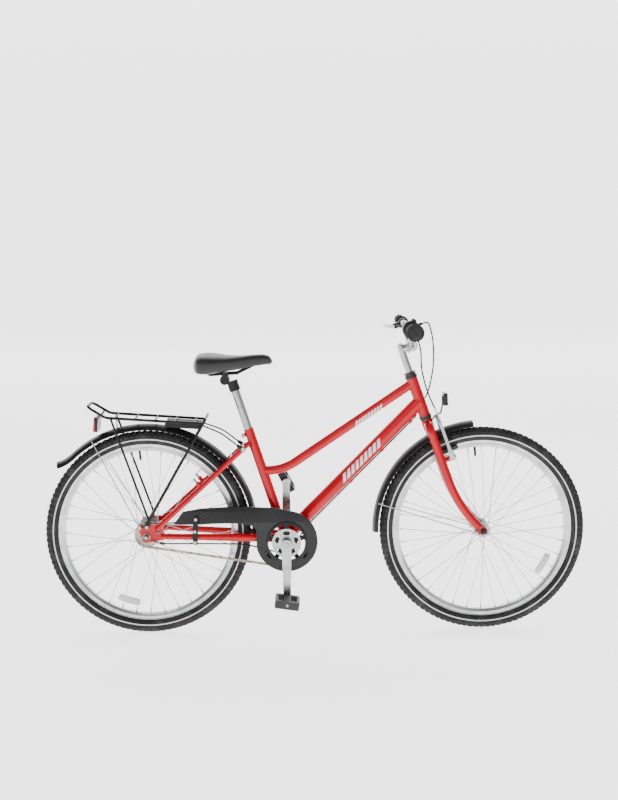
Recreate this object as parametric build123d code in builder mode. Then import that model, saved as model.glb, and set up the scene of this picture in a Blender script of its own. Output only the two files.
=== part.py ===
from build123d import *
import os
from math import asin, cos, degrees, pi, radians, sin, sqrt, tan

# Step-through city bicycle with 26 inch wheels, hub gear, mudguards, luggage rack and chain guard.
# +X is forward, +Y is the rider's left, +Z is up. The origin lies on the ground, halfway between
# the two axles. All lengths are millimetres and all angles degrees.

# ---- Driving dimensions: wheels
WHEELBASE = 1062.0
RIM_RADIUS = 285.5
RIM_DEPTH = 22.0
RIM_WIDTH = 25.0
RIM_WALL = 2.0
TYRE_DEPTH = 41.5
TYRE_WIDTH = 47.0
TYRE_WALL = 3.5
SPOKE_COUNT = 36
SPOKE_RADIUS = 1.0
FRONT_SPREAD = 100.0
REAR_SPREAD = 130.0

# ---- Driving dimensions: frame
BRACKET_REACH = 439.0
BRACKET_DROP = 30.0
SEAT_LEAN = 18.0
HEAD_LEAN = 19.3
FORK_RAKE = 50.5
CROWN_RISE = 65.0
HEAD_LENGTH = 127.0
HEAD_RADIUS = 18.0
HEAD_BORE = 15.1
SEAT_TUBE_LENGTH = 378.0
SEAT_TUBE_RADIUS = 15.6
SEATPOST_RADIUS = 13.5
TOP_TUBE_RADIUS = 14.5
TOP_TUBE_JOINT = 16.0
TOP_TUBE_LOW = 236.0
TOP_TUBE_SLOPE = 33.6
DOWN_TUBE_RADIUS = 21.5
DOWN_TUBE_JOINT = 47.5
DOWN_TUBE_RISE = 10.0
TUBE_WALL = 1.8
SHELL_RADIUS = 21.0
SHELL_BORE = 17.4
SHELL_WIDTH = 68.0
STAY_RADIUS = 8.5
CHAIN_STAY_REAR = 9.0
CHAIN_STAY_FRONT = 14.0
DROPOUT_THICKNESS = 6.0
AXLE_RADIUS = 4.9
FRONT_AXLE_RADIUS = 4.4

# ---- Driving dimensions: steering
STEERER_RADIUS = 12.7
QUILL_RADIUS = 11.1
BLADE_RADIUS = 13.8
BLADE_TOP_SIDE = 46.0
STEM_RISE = 97.0
STEM_REACH = 35.0
BAR_RISE = 63.0
BAR_HALF = 298.0
BAR_RADIUS = 11.1
BAR_BULGE = 12.7
GRIP_RADIUS = 16.5

# ---- Driving dimensions: drive
CHAIN_PITCH = 12.7
RING_TEETH = 38
SPROCKET_TEETH = 18
CHAIN_LINE = 50.0
CHAIN_WIDTH = 8.0
CRANK_LENGTH = 168.0
SPINDLE_RADIUS = 8.5
PEDAL_LENGTH = 76.0
PEDAL_WIDTH = 88.0
PEDAL_THICKNESS = 25.0
PEDAL_TILT = 8.5
FAR_PEDAL_TILT = 62.0
PEDAL_AXLE_RADIUS = 5.5

# ---- Driving dimensions: fittings
GUARD_GAP = 21.0
GUARD_WIDTH = 58.0
GUARD_DEPTH = 16.0
GUARD_WALL = 1.6
WIRE_RADIUS = 1.8
WIRE_LIFT = 1.2
WIRE_EYE_DEPTH = 2 * WIRE_RADIUS + WIRE_LIFT
RACK_HALF = 58.0
RACK_RADIUS = 4.5
RACK_REAR = -120.0
RACK_FRONT = 183.0
CASE_FACE = 64.5
CASE_DEPTH = 10.0
CASE_WALL = 2.0
CASE_OPENING = 60.0
CASE_ROUND = 97.0
SADDLE_LENGTH = 251.0
SADDLE_WIDTH = 176.0
CABLE_RADIUS = 2.4

# ---- Fits
MOVING_GAP = 0.3
RUNNING_GAP = 0.05
PAD_GAP = 1.7

# ---- Values worked out from the driving dimensions
WHEEL_RADIUS = RIM_RADIUS + TYRE_DEPTH
REAR_X = -WHEELBASE / 2
FRONT_X = WHEELBASE / 2
DROPOUT_IN = REAR_SPREAD / 2
DROPOUT_OUT = DROPOUT_IN + DROPOUT_THICKNESS
GUARD_RADIUS = WHEEL_RADIUS + GUARD_GAP + GUARD_WALL
RING_RADIUS = CHAIN_PITCH / (2 * sin(pi / RING_TEETH))
SPROCKET_RADIUS = CHAIN_PITCH / (2 * sin(pi / SPROCKET_TEETH))
CROWN_S = WHEEL_RADIUS + CROWN_RISE
HEAD_LOW = CROWN_S + 12.0
HEAD_HIGH = HEAD_LOW + HEAD_LENGTH
TRACK_RADIUS = RIM_RADIUS - 9.0
BRACKET = Vector(REAR_X + BRACKET_REACH, 0, WHEEL_RADIUS - BRACKET_DROP)
REAR_AXLE = Vector(REAR_X, 0, WHEEL_RADIUS)
FRONT_AXLE = Vector(FRONT_X, 0, WHEEL_RADIUS)
SEAT_UP = Vector(-sin(radians(SEAT_LEAN)), 0, cos(radians(SEAT_LEAN)))
SEAT_OUT = Vector(cos(radians(SEAT_LEAN)), 0, sin(radians(SEAT_LEAN)))
HEAD_UP = Vector(-sin(radians(HEAD_LEAN)), 0, cos(radians(HEAD_LEAN)))
HEAD_OUT = Vector(cos(radians(HEAD_LEAN)), 0, sin(radians(HEAD_LEAN)))
SIDE = Vector(0, 1, 0)


def rear(x, up, side=0.0):
    """A point measured forward, up and to the left of the rear axle."""
    return REAR_AXLE + Vector(x, side, up)


def steer(along, out=0.0, side=0.0):
    """A point measured up the steering axis from the foot of the rake, then forward and left."""
    return FRONT_AXLE + HEAD_UP * along + HEAD_OUT * (out - FORK_RAKE) + SIDE * side


def seat(along, out=0.0, side=0.0):
    """A point measured up the seat tube from the bottom bracket, then forward and left."""
    return BRACKET + SEAT_UP * along + SEAT_OUT * out + SIDE * side


def around(centre, radius, angle, side=0.0):
    """A point on a circle about a wheel's axle, the angle counted up from straight ahead."""
    return centre + Vector(radius * cos(radians(angle)), side, radius * sin(radians(angle)))


def side_plane(side):
    """A plane across the bicycle at the given distance to the left, seen from the right."""
    return Plane.XZ.offset(-side)


def rod(start, end, radius, bore=0.0, mode=Mode.ADD):
    """A straight round bar or tube between two points, in the part being built."""
    with BuildSketch(Plane(origin=start, z_dir=end - start)) as section:
        Circle(radius)
        if bore:
            Circle(bore, mode=Mode.SUBTRACT)
    extrude(section.sketch, amount=(end - start).length, mode=mode)


def across(centre, radius, low, high, bore=0.0, mode=Mode.ADD):
    """A round bar or tube that runs sideways through a point, from one side to the other."""
    rod(centre + SIDE * low, centre + SIDE * high, radius, bore, mode)


def bent_tube(points, radii, radius, bore=0.0):
    """A round tube swept along straight runs joined by tangent arcs."""
    with BuildLine(mode=Mode.PRIVATE) as path:
        FilletPolyline(*points, radius=radii)
    with BuildSketch(Plane(origin=path.line @ 0, z_dir=path.line % 0)) as section:
        Circle(radius)
        if bore:
            Circle(bore, mode=Mode.SUBTRACT)
    sweep(section.sketch, path=path.line)


def cable_radii(points):
    """The largest arcs that a cable's runs allow, one for each corner of its route."""
    radii = []
    for before, corner, after in zip(points, points[1:], points[2:]):
        run_in = corner - before
        run_out = after - corner
        turn = radians(run_in.get_angle(run_out))
        radii.append(0.45 * min(run_in.length, run_out.length) / tan(turn / 2))
    return radii


def hull_plate(circles, side, thickness, mode=Mode.ADD):
    """A plate across the bicycle whose outline is the hull of circles, each (point, radius)."""
    with BuildSketch(side_plane(side)) as outline:
        for centre, radius in circles:
            with Locations((centre.X, centre.Z)):
                Circle(radius)
        make_hull()
    extrude(outline.sketch, amount=thickness, mode=mode)


def hexagon(centre, radius, low, high, bore=0.0):
    """A hexagonal nut that lies sideways between two side distances."""
    with BuildSketch(Plane(origin=centre + SIDE * low, z_dir=SIDE)) as section:
        RegularPolygon(radius, 6)
        if bore:
            Circle(bore, mode=Mode.SUBTRACT)
    extrude(section.sketch, amount=high - low)


def save(piece, name):
    """Label a finished piece and write it to its own file."""
    piece.part.label = name
    export_step(piece.part, f"parts/{name}.step")


def save_group(name, *pieces):
    """Write several finished pieces as the separate solids of one file."""
    solids = [solid for piece in pieces for solid in piece.part.solids()]
    group = Compound(solids)
    group.label = name
    export_step(group, f"parts/{name}.step")


os.makedirs("parts", exist_ok=True)

# ================================================================ frame
SEAT_TOP = seat(SEAT_TUBE_LENGTH)
SEAT_BORE = SEATPOST_RADIUS + RUNNING_GAP
CLAMP_SLOT = 3.0
CLAMP_DROP = 16.0
CLAMP_OUT = SEAT_TUBE_RADIUS + 7.0

with BuildPart() as head_tube:
    rod(steer(HEAD_LOW), steer(HEAD_HIGH), HEAD_RADIUS, HEAD_BORE)
save(head_tube, "head_tube")

with BuildPart() as bottom_bracket_shell:
    across(BRACKET, SHELL_RADIUS, -SHELL_WIDTH / 2, SHELL_WIDTH / 2, SHELL_BORE)

with BuildPart() as seat_tube:
    rod(BRACKET, SEAT_TOP, SEAT_TUBE_RADIUS)
    clamp = seat(SEAT_TUBE_LENGTH - CLAMP_DROP, -CLAMP_OUT)
    across(clamp, 7.0, -8.0, 8.0)
    rod(clamp, seat(SEAT_TUBE_LENGTH - CLAMP_DROP), 6.0)
    rod(BRACKET, SEAT_TOP + SEAT_UP, SEAT_BORE, mode=Mode.SUBTRACT)
    across(BRACKET, SHELL_RADIUS, -SHELL_WIDTH, SHELL_WIDTH, mode=Mode.SUBTRACT)
    across(clamp, 3.1, -20.0, 20.0, mode=Mode.SUBTRACT)
    with BuildSketch(Plane(origin=seat(SEAT_TUBE_LENGTH - 34.0, -20.0), z_dir=SEAT_UP)) as slot:
        Rectangle(40.0, CLAMP_SLOT)
    extrude(slot.sketch, amount=40.0, mode=Mode.SUBTRACT)
save_group("seat_tube", seat_tube, bottom_bracket_shell)

with BuildPart() as seat_clamp_bolt:
    across(clamp, 3.0, -12.0, 12.0)
    across(clamp, 5.2, -12.0, -8.0)
    hexagon(clamp, 5.2, 8.0, 12.0)

# The top tube runs down from the head, then bends level into the seat tube.
TOP_START = steer(HEAD_HIGH - TOP_TUBE_JOINT)
TOP_FOOT = seat(TOP_TUBE_LOW)
TOP_RUN = (TOP_START.Z - TOP_FOOT.Z) / tan(radians(TOP_TUBE_SLOPE))
TOP_BEND = Vector(TOP_START.X - TOP_RUN, 0, TOP_FOOT.Z)
TOP_ARC = 0.72 * (TOP_BEND - TOP_FOOT).length / tan(radians(TOP_TUBE_SLOPE / 2))

with BuildPart() as top_tube:
    bent_tube([TOP_START, TOP_BEND, TOP_FOOT], [TOP_ARC], TOP_TUBE_RADIUS, TOP_TUBE_RADIUS - TUBE_WALL)
    rod(steer(HEAD_LOW), steer(HEAD_HIGH + 40.0), HEAD_RADIUS, mode=Mode.SUBTRACT)
    rod(BRACKET, SEAT_TOP, SEAT_TUBE_RADIUS, mode=Mode.SUBTRACT)
save(top_tube, "top_tube")

DOWN_START = BRACKET + (SEAT_UP * DOWN_TUBE_RISE)
DOWN_END = steer(HEAD_LOW + DOWN_TUBE_JOINT)
DOWN_ALONG = (DOWN_END - DOWN_START).normalized()
DOWN_UNDER = Vector(DOWN_ALONG.Z, 0, -DOWN_ALONG.X)

with BuildPart() as down_tube:
    rod(DOWN_START, DOWN_END, DOWN_TUBE_RADIUS, DOWN_TUBE_RADIUS - TUBE_WALL)
    rod(steer(HEAD_LOW - 40.0), steer(HEAD_HIGH), HEAD_RADIUS, mode=Mode.SUBTRACT)
    rod(BRACKET, SEAT_TOP, SEAT_TUBE_RADIUS, mode=Mode.SUBTRACT)
    across(BRACKET, SHELL_RADIUS, -SHELL_WIDTH, SHELL_WIDTH, mode=Mode.SUBTRACT)
save(down_tube, "down_tube")

# Rear ends: flat plates with a slot for the axle and an eye each for the rack and the wire stay.
RACK_EYE = rear(2.0, 31.0)
WIRE_EYE = rear(-21.0, 28.0)
EYE_RADIUS = 2.6
CHAIN_STAY_END = rear(50.0, 0.0)
SEAT_STAY_END = rear(38.0, 29.0)

with BuildPart() as dropouts:
    for inner in (DROPOUT_OUT, -DROPOUT_IN):
        hull_plate([(REAR_AXLE, 19.0), (RACK_EYE, 9.0), (SEAT_STAY_END, 9.0), (CHAIN_STAY_END, 11.0)],
                   inner, DROPOUT_THICKNESS)
        hull_plate([(REAR_AXLE, 14.0), (WIRE_EYE, 7.0)], inner, DROPOUT_THICKNESS)
    for centre in (RACK_EYE, WIRE_EYE):
        across(centre, EYE_RADIUS, -100.0, 100.0, mode=Mode.SUBTRACT)
    across(REAR_AXLE, AXLE_RADIUS, -100.0, 100.0, mode=Mode.SUBTRACT)
    with BuildSketch(side_plane(100.0)) as slot:
        with Locations(Location((REAR_X, WHEEL_RADIUS), 200.0)):
            Rectangle(40.0, 2 * AXLE_RADIUS, align=(Align.MIN, Align.CENTER))
    extrude(slot.sketch, amount=200.0, mode=Mode.SUBTRACT)
    hull_plate([(rear(33.0, 17.0), 4.0), (rear(44.0, 13.0), 2.5), (rear(38.0, 22.0), 2.5)],
               100.0, 200.0, mode=Mode.SUBTRACT)

STAY_SIDE = (DROPOUT_IN + DROPOUT_OUT) / 2
CHAIN_STAY_ROOT = BRACKET + Vector(-8.0, 27.0, 10.0)
STAY_TOP = rear(306.0, 270.0, 33.5)

with BuildPart() as chain_stays:
    for hand in (-1, 1):
        tail = rear(44.0, 0.0, hand * STAY_SIDE)
        root = Vector(CHAIN_STAY_ROOT.X, hand * CHAIN_STAY_ROOT.Y, CHAIN_STAY_ROOT.Z)
        for wall, mode in ((0.0, Mode.ADD), (TUBE_WALL, Mode.SUBTRACT)):
            with BuildSketch(Plane(origin=tail, x_dir=SIDE, z_dir=root - tail)) as small_end:
                Circle(CHAIN_STAY_REAR - wall)
            with BuildSketch(Plane(origin=root, x_dir=SIDE, z_dir=root - tail)) as large_end:
                Ellipse(STAY_RADIUS - wall, CHAIN_STAY_FRONT - wall)
            loft([small_end.sketch.face(), large_end.sketch.face()], mode=mode)
    across(BRACKET, SHELL_RADIUS, -SHELL_WIDTH, SHELL_WIDTH, mode=Mode.SUBTRACT)
    add(dropouts.part, mode=Mode.SUBTRACT)
save_group("chain_stays", chain_stays, dropouts)

BOSS_ALONG = 0.52
STAY_RUN = STAY_TOP - rear(30.0, 22.0, STAY_SIDE)
BOSS_LEAN = Vector(-STAY_RUN.Z, 0, STAY_RUN.X).normalized()
BOSS_REACH = 21.0
STUD_REACH = 16.0

with BuildPart() as seat_stays:
    for hand in (-1, 1):
        tail = rear(30.0, 22.0, hand * STAY_SIDE)
        top = Vector(STAY_TOP.X, hand * STAY_TOP.Y, STAY_TOP.Z)
        rod(tail, top, STAY_RADIUS)
        boss = tail + (top - tail) * BOSS_ALONG
        rod(boss, boss + BOSS_LEAN * BOSS_REACH, 7.0)
        rod(tail, top, STAY_RADIUS - TUBE_WALL, mode=Mode.SUBTRACT)
    add(dropouts.part, mode=Mode.SUBTRACT)
    across(STAY_TOP - SIDE * STAY_TOP.Y, 9.0, -60.0, 60.0, mode=Mode.SUBTRACT)
    add(chain_stays.part, mode=Mode.SUBTRACT)

with BuildPart() as rear_brake_posts:
    for hand in (-1, 1):
        tail = rear(30.0, 22.0, hand * STAY_SIDE)
        top = Vector(STAY_TOP.X, hand * STAY_TOP.Y, STAY_TOP.Z)
        boss = tail + (top - tail) * BOSS_ALONG + BOSS_LEAN * BOSS_REACH
        rod(boss, boss + BOSS_LEAN * STUD_REACH, 4.0)

# The wishbone bridge: a cross tube at the stay tops, with a stub to the seat tube.
BRIDGE = STAY_TOP - SIDE * STAY_TOP.Y
BRIDGE_HALF = STAY_TOP.Y + STAY_RADIUS + 0.5
BRIDGE_FOOT = seat((BRIDGE - BRACKET).dot(SEAT_UP) + 8.0)

with BuildPart() as stay_bridge:
    across(BRIDGE, 9.0, -BRIDGE_HALF, BRIDGE_HALF)
    rod(BRIDGE, BRIDGE_FOOT, 9.0)
    rod(BRACKET, SEAT_TOP, SEAT_TUBE_RADIUS, mode=Mode.SUBTRACT)

LOW_BRIDGE = rear(GUARD_RADIUS + 8.0, -13.0)

with BuildPart() as guard_bridges:
    across(LOW_BRIDGE, 7.0, -31.0, 31.0)
    reach = STAY_RUN.X ** 2 + STAY_RUN.Z ** 2
    middle = 30.0 * STAY_RUN.X + 22.0 * STAY_RUN.Z
    share = (-middle + sqrt(middle ** 2 - reach * (30.0 ** 2 + 22.0 ** 2 - (GUARD_RADIUS + 8.0) ** 2))) / reach
    high_bridge = rear(30.0 + share * STAY_RUN.X, 22.0 + share * STAY_RUN.Z)
    across(high_bridge, 7.0, -40.0, 40.0)
    add(chain_stays.part, mode=Mode.SUBTRACT)
    add(seat_stays.part, mode=Mode.SUBTRACT)
save_group("seat_stays", seat_stays, stay_bridge, guard_bridges)

# Headset: cups pressed into the head tube, rings of balls, and races on the steerer.
CUP_RADIUS = 20.0
CUP_INSERT = 10.0
CUP_FLANGE = 6.5
RACE_RADIUS = 14.6
BALL_RADIUS = 1.3
BALL_RING = 16.1
BALL_COUNT = 20


def cup_profile(end, outward):
    """One headset cup about the steering axis, with its flange outside the head tube's end."""
    rod(steer(end), steer(end + outward * CUP_FLANGE), CUP_RADIUS)
    rod(steer(end), steer(end - outward * CUP_INSERT), HEAD_BORE)
    low = steer(end - outward * (CUP_INSERT + 1.0))
    rod(low, steer(end + outward * (CUP_FLANGE + 1.0)), STEERER_RADIUS + 0.5, mode=Mode.SUBTRACT)
    rod(steer(end + outward * 2.5), steer(end + outward * 9.0), BALL_RING + 1.5, mode=Mode.SUBTRACT)


with BuildPart() as headset_cups:
    cup_profile(HEAD_LOW, -1)
    cup_profile(HEAD_HIGH, 1)
save(headset_cups, "headset_cups")

with BuildPart() as headset_balls:
    for end, outward in ((HEAD_LOW, -1), (HEAD_HIGH, 1)):
        ring = Plane(origin=steer(end + outward * 4.2), z_dir=HEAD_UP)
        with Locations(ring):
            with PolarLocations(BALL_RING, BALL_COUNT):
                Sphere(BALL_RADIUS)

with BuildPart() as headset_races:
    for end, outward, base in ((HEAD_LOW, -1, 12.0), (HEAD_HIGH, 1, 12.0)):
        rod(steer(end + outward * (CUP_FLANGE + MOVING_GAP)), steer(end + outward * base),
            BALL_RING + 2.2, STEERER_RADIUS)
        rod(steer(end + outward * 3.0), steer(end + outward * (CUP_FLANGE + MOVING_GAP)),
            RACE_RADIUS, STEERER_RADIUS)

LOCKNUT_TOP = HEAD_HIGH + 20.0

with BuildPart() as headset_locknut:
    with BuildSketch(Plane(origin=steer(HEAD_HIGH + 12.0), z_dir=HEAD_UP)) as nut:
        RegularPolygon(18.5, 8)
        Circle(STEERER_RADIUS, mode=Mode.SUBTRACT)
    extrude(nut.sketch, amount=LOCKNUT_TOP - HEAD_HIGH - 12.0)
save_group("headset_races", headset_races, headset_locknut)

with BuildPart() as bracket_cups:
    for hand in (-1, 1):
        face = hand * SHELL_WIDTH / 2
        inner = hand * (SHELL_WIDTH / 2 - 12.0)
        across(BRACKET, SHELL_BORE, min(face, inner), max(face, inner))
        outer = hand * (SHELL_WIDTH / 2 + 4.0)
        across(BRACKET, SHELL_RADIUS - 1.0, min(face, outer), max(face, outer))
    across(BRACKET, SPINDLE_RADIUS + RUNNING_GAP, -80.0, 80.0, mode=Mode.SUBTRACT)
save_group("frame_bearings", bracket_cups, headset_balls)

# ================================================================ rear axle, guard and rack
WASHER = 2.0
NUT_LENGTH = 9.0
AXLE_END = DROPOUT_OUT + WASHER + NUT_LENGTH + 9.0
CONE_RADIUS = 9.0

STUB_NECK = 0.5
STUB_STEP = 0.3


def axle(centre, radius, end, stub):
    """An axle across the bicycle; past each nut a short neck leads to a slightly thinner plain stub."""
    shoulder = end - stub
    across(centre, radius, -shoulder, shoulder)
    across(centre, radius - 2 * STUB_STEP, 1.0 - end, end - 1.0)
    across(centre, radius - STUB_STEP, shoulder + STUB_NECK, end)
    across(centre, radius - STUB_STEP, -end, -shoulder - STUB_NECK)


with BuildPart() as rear_axle:
    axle(REAR_AXLE, AXLE_RADIUS, AXLE_END, 9.0)

with BuildPart() as rear_axle_nuts:
    for hand in (-1, 1):
        inner = hand * DROPOUT_OUT
        outer = hand * (DROPOUT_OUT + WASHER)
        across(REAR_AXLE, 10.5, min(inner, outer), max(inner, outer), AXLE_RADIUS)
        nut_end = hand * (DROPOUT_OUT + WASHER + NUT_LENGTH)
        hexagon(REAR_AXLE, 8.9, min(outer, nut_end), max(outer, nut_end), AXLE_RADIUS)
        cone = hand * (DROPOUT_IN - 7.0)
        across(REAR_AXLE, CONE_RADIUS, min(cone, hand * DROPOUT_IN), max(cone, hand * DROPOUT_IN), AXLE_RADIUS)
save_group("rear_axle", rear_axle, rear_axle_nuts)


def guard_section(plane, radius):
    """The bowed channel of a mudguard, its crown at the given distance from the plane's origin."""
    half = GUARD_WIDTH / 2
    with BuildSketch(plane) as section:
        with BuildLine():
            ThreePointArc((radius - GUARD_DEPTH, -half), (radius, 0), (radius - GUARD_DEPTH, half))
            Line((radius - GUARD_DEPTH, half), (radius - GUARD_DEPTH, half - GUARD_WALL))
            ThreePointArc((radius - GUARD_DEPTH, half - GUARD_WALL), (radius - GUARD_WALL, 0),
                          (radius - GUARD_DEPTH, GUARD_WALL - half))
            Line((radius - GUARD_DEPTH, GUARD_WALL - half), (radius - GUARD_DEPTH, -half))
        make_face()
    return section.sketch


def guard_plane(centre, angle):
    """The plane through a wheel's axle at an angle, with its first direction pointing outward."""
    radial = around(Vector(0, 0, 0), 1.0, angle)
    return Plane(origin=centre, x_dir=radial, z_dir=radial.cross(SIDE))


REAR_GUARD_START = -1.5
REAR_GUARD_END = 133.0
TAIL_BEND = 110.0
TAIL_TURN = 28.0

with BuildPart() as rear_mudguard:
    start_face = guard_section(guard_plane(REAR_AXLE, REAR_GUARD_START), GUARD_RADIUS)
    revolve(start_face, axis=Axis(REAR_AXLE, -SIDE), revolution_arc=REAR_GUARD_END - REAR_GUARD_START)
    end_face = guard_section(guard_plane(REAR_AXLE, REAR_GUARD_END), GUARD_RADIUS)
    tail_centre = around(REAR_AXLE, GUARD_RADIUS + TAIL_BEND, REAR_GUARD_END)
    revolve(end_face, axis=Axis(tail_centre, SIDE), revolution_arc=TAIL_TURN)
save(rear_mudguard, "rear_mudguard")

WIRE_ANGLE = 119.5
WIRE_HOLD = GUARD_RADIUS - GUARD_DEPTH + 3.0
WIRE_SIDE = GUARD_WIDTH / 2 + WIRE_RADIUS + 0.4

with BuildPart() as rear_guard_wires:
    for hand in (-1, 1):
        foot = WIRE_EYE + SIDE * hand * (DROPOUT_OUT + WIRE_RADIUS + WIRE_LIFT)
        rod(foot, around(REAR_AXLE, WIRE_HOLD + 6.0, WIRE_ANGLE, hand * WIRE_SIDE), WIRE_RADIUS)
        eye_face = hand * (DROPOUT_OUT + WIRE_EYE_DEPTH)
        across(WIRE_EYE, 5.5, min(hand * DROPOUT_OUT, eye_face), max(hand * DROPOUT_OUT, eye_face))
    across(WIRE_EYE, EYE_RADIUS, -100.0, 100.0, mode=Mode.SUBTRACT)
save(rear_guard_wires, "rear_guard_wires")

FOOT_THICKNESS = 3.0
EYE_BOLT_HEAD = 4.5

with BuildPart() as rear_eye_bolts:
    for hand in (-1, 1):
        for centre, cover in ((RACK_EYE, FOOT_THICKNESS), (WIRE_EYE, WIRE_EYE_DEPTH)):
            seat_face = hand * (DROPOUT_OUT + cover)
            head = hand * (DROPOUT_OUT + cover + EYE_BOLT_HEAD)
            across(centre, 5.6, min(seat_face, head), max(seat_face, head))
            tip = hand * DROPOUT_IN
            across(centre, EYE_RADIUS, min(tip, seat_face), max(tip, seat_face))

# Luggage rack: one tube round the deck with a raised tail, a hoop and two legs on each side.
DECK_REAR_UP = GUARD_RADIUS + 27.0
DECK_FRONT_UP = GUARD_RADIUS + 4.5
TAIL_RISE = 35.0
TAIL_RUN = 56.0
HOOP_UP = GUARD_RADIUS + 35.0
HOOP_X = 201.0
STRUT_SIDE = DROPOUT_OUT + FOOT_THICKNESS / 2


def deck(x, side=0.0):
    """A point on the rack's deck, at a distance ahead of the rear axle."""
    share = (x - RACK_REAR) / (RACK_FRONT - RACK_REAR)
    return rear(x, DECK_REAR_UP + share * (DECK_FRONT_UP - DECK_REAR_UP), side)


with BuildPart() as rack_deck:
    tail_x = RACK_REAR - TAIL_RUN
    tail_up = DECK_REAR_UP + TAIL_RISE
    route = [deck(RACK_FRONT, RACK_HALF), deck(RACK_REAR, RACK_HALF), rear(tail_x, tail_up, RACK_HALF),
             rear(tail_x, tail_up, -RACK_HALF), deck(RACK_REAR, -RACK_HALF), deck(RACK_FRONT, -RACK_HALF)]
    bent_tube(route, [40.0, 20.0, 20.0, 40.0], RACK_RADIUS)
    for x in (-92.0, -30.0, 32.0, 94.0, 156.0):
        rod(deck(x, -RACK_HALF), deck(x, RACK_HALF), 3.0)

with BuildPart() as rack_legs:
    for hand in (-1, 1):
        foot_side = hand * STRUT_SIDE
        toe = RACK_EYE + Vector(8.0, foot_side, 22.0)
        hoop_side = hand * (RACK_HALF + RACK_RADIUS + 4.2)
        rod(toe, rear(HOOP_X - 10.0, HOOP_UP - 17.0, hoop_side), 4.0)
        rod(toe + Vector(-3.0, 0, 4.0), deck(-104.0, hoop_side) + Vector(0, 0, 2.0), 3.6)
        plate_side = hand * (DROPOUT_OUT + FOOT_THICKNESS) if hand > 0 else hand * DROPOUT_OUT
        hull_plate([(RACK_EYE, 7.5), (RACK_EYE + Vector(8.0, 0, 24.0), 6.0)], plate_side, FOOT_THICKNESS)
    rod(rear(HOOP_X - 10.0, HOOP_UP - 17.0, -hoop_side), rear(HOOP_X - 10.0, HOOP_UP - 17.0, hoop_side), 4.0)
    across(RACK_EYE, EYE_RADIUS, -100.0, 100.0, mode=Mode.SUBTRACT)

TRAY_LENGTH = 112.0
TRAY_DROP = 14.0

with BuildPart() as rack_tray:
    with BuildSketch(Plane(origin=deck(RACK_FRONT - 8.0 - TRAY_LENGTH / 2) - Vector(0, 0, RACK_RADIUS + TRAY_DROP),
                           x_dir=deck(RACK_FRONT) - deck(RACK_REAR), z_dir=(deck(0, 1) - deck(0)).cross(
                               deck(RACK_FRONT) - deck(RACK_REAR)) * -1)) as tray:
        Rectangle(TRAY_LENGTH, 2 * RACK_HALF - 8.0)
    extrude(tray.sketch, amount=TRAY_DROP - 0.3)

with BuildPart() as rack_stays:
    for hand in (-1, 1):
        stay_side = hand * (BRIDGE_HALF + 1.6)
        arm = [deck(RACK_FRONT - 2.0, hand * 30.0) - Vector(0, 0, 10.0), rear(238.0, 322.0, stay_side * 0.95),
               BRIDGE + Vector(-12.0, stay_side, 8.0)]
        bent_tube(arm, [120.0], 2.6)
        plate_side = hand * BRIDGE_HALF + (3.2 if hand > 0 else 0.0)
        hull_plate([(BRIDGE, 7.0), (BRIDGE + Vector(-16.0, 0, 11.0), 5.0)], plate_side, 3.2)
    across(BRIDGE, 3.1, -60.0, 60.0, mode=Mode.SUBTRACT)
    add(rack_tray.part, mode=Mode.SUBTRACT)
save_group("rack_legs", rack_legs, rack_stays)

with BuildPart() as stay_bolts:
    for hand in (-1, 1):
        inner = hand * (BRIDGE_HALF + 3.2)
        outer = hand * (BRIDGE_HALF + 8.2)
        hexagon(BRIDGE, 7.0, min(inner, outer), max(inner, outer))
        across(BRIDGE, 3.0, min(hand * BRIDGE_HALF, inner), max(hand * BRIDGE_HALF, inner))
save_group("frame_bolts", seat_clamp_bolt, rear_brake_posts, rear_eye_bolts, stay_bolts)

with BuildPart() as guard_bracket:
    strap_top = deck(-92.0)
    strap_foot = rear(-92.0, sqrt((GUARD_RADIUS + 0.5) ** 2 - 92.0 ** 2))
    with BuildSketch(Plane(origin=strap_foot, z_dir=Vector(0, 0, 1))) as strap:
        Rectangle(2.0, 18.0)
    extrude(strap.sketch, amount=strap_top.Z - strap_foot.Z - 3.3)
save_group("rack_deck", rack_deck, rack_tray, guard_bracket)

REFLECTOR_X = -150.0
REFLECTOR_UP = 352.0

with BuildPart() as rear_reflector:
    face = Plane(origin=rear(REFLECTOR_X - 6.0, REFLECTOR_UP), x_dir=SIDE, z_dir=Vector(-1, 0, 0.1))
    with BuildSketch(face) as lens:
        RectangleRounded(86.0, 46.0, 6.0)
    extrude(lens.sketch, amount=5.0)

with BuildPart() as reflector_housing:
    face = Plane(origin=rear(REFLECTOR_X - 6.0, REFLECTOR_UP), x_dir=SIDE, z_dir=Vector(1, 0, -0.1))
    with BuildSketch(face) as back:
        RectangleRounded(86.0, 46.0, 6.0)
    extrude(back.sketch, amount=9.0)
    for hand in (-1, 1):
        hook = rear(REFLECTOR_X, REFLECTOR_UP + 15.0, hand * 38.0)
        rod(hook, deck(RACK_REAR - 16.0, hand * RACK_HALF) + Vector(0, 0, 10.0), 3.0)
    add(rack_deck.part, mode=Mode.SUBTRACT)
save_group("rear_reflector", rear_reflector, reflector_housing)

# ================================================================ steering
END_IN = FRONT_SPREAD / 2
END_THICKNESS = 5.0
END_OUT = END_IN + END_THICKNESS
BLADE_END_SIDE = END_IN + END_THICKNESS / 2
CROWN_LENGTH = 34.0
CROWN_RADIUS = 18.0
BOSS_S = 254.5
BOSS_SIDE = 41.0
BOSS_FACE = 25.7
POST_END = 44.0
STRAIGHT_END = 210.0
BLADE_FOOT = 20.0
BLADE_CUT_WIDTH = 90.0
RAKE_TURN = 2 * degrees(asin(FORK_RAKE / sqrt(FORK_RAKE ** 2 + STRAIGHT_END ** 2)))
RAKE_CORNER = STRAIGHT_END - FORK_RAKE / sin(radians(RAKE_TURN))

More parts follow.
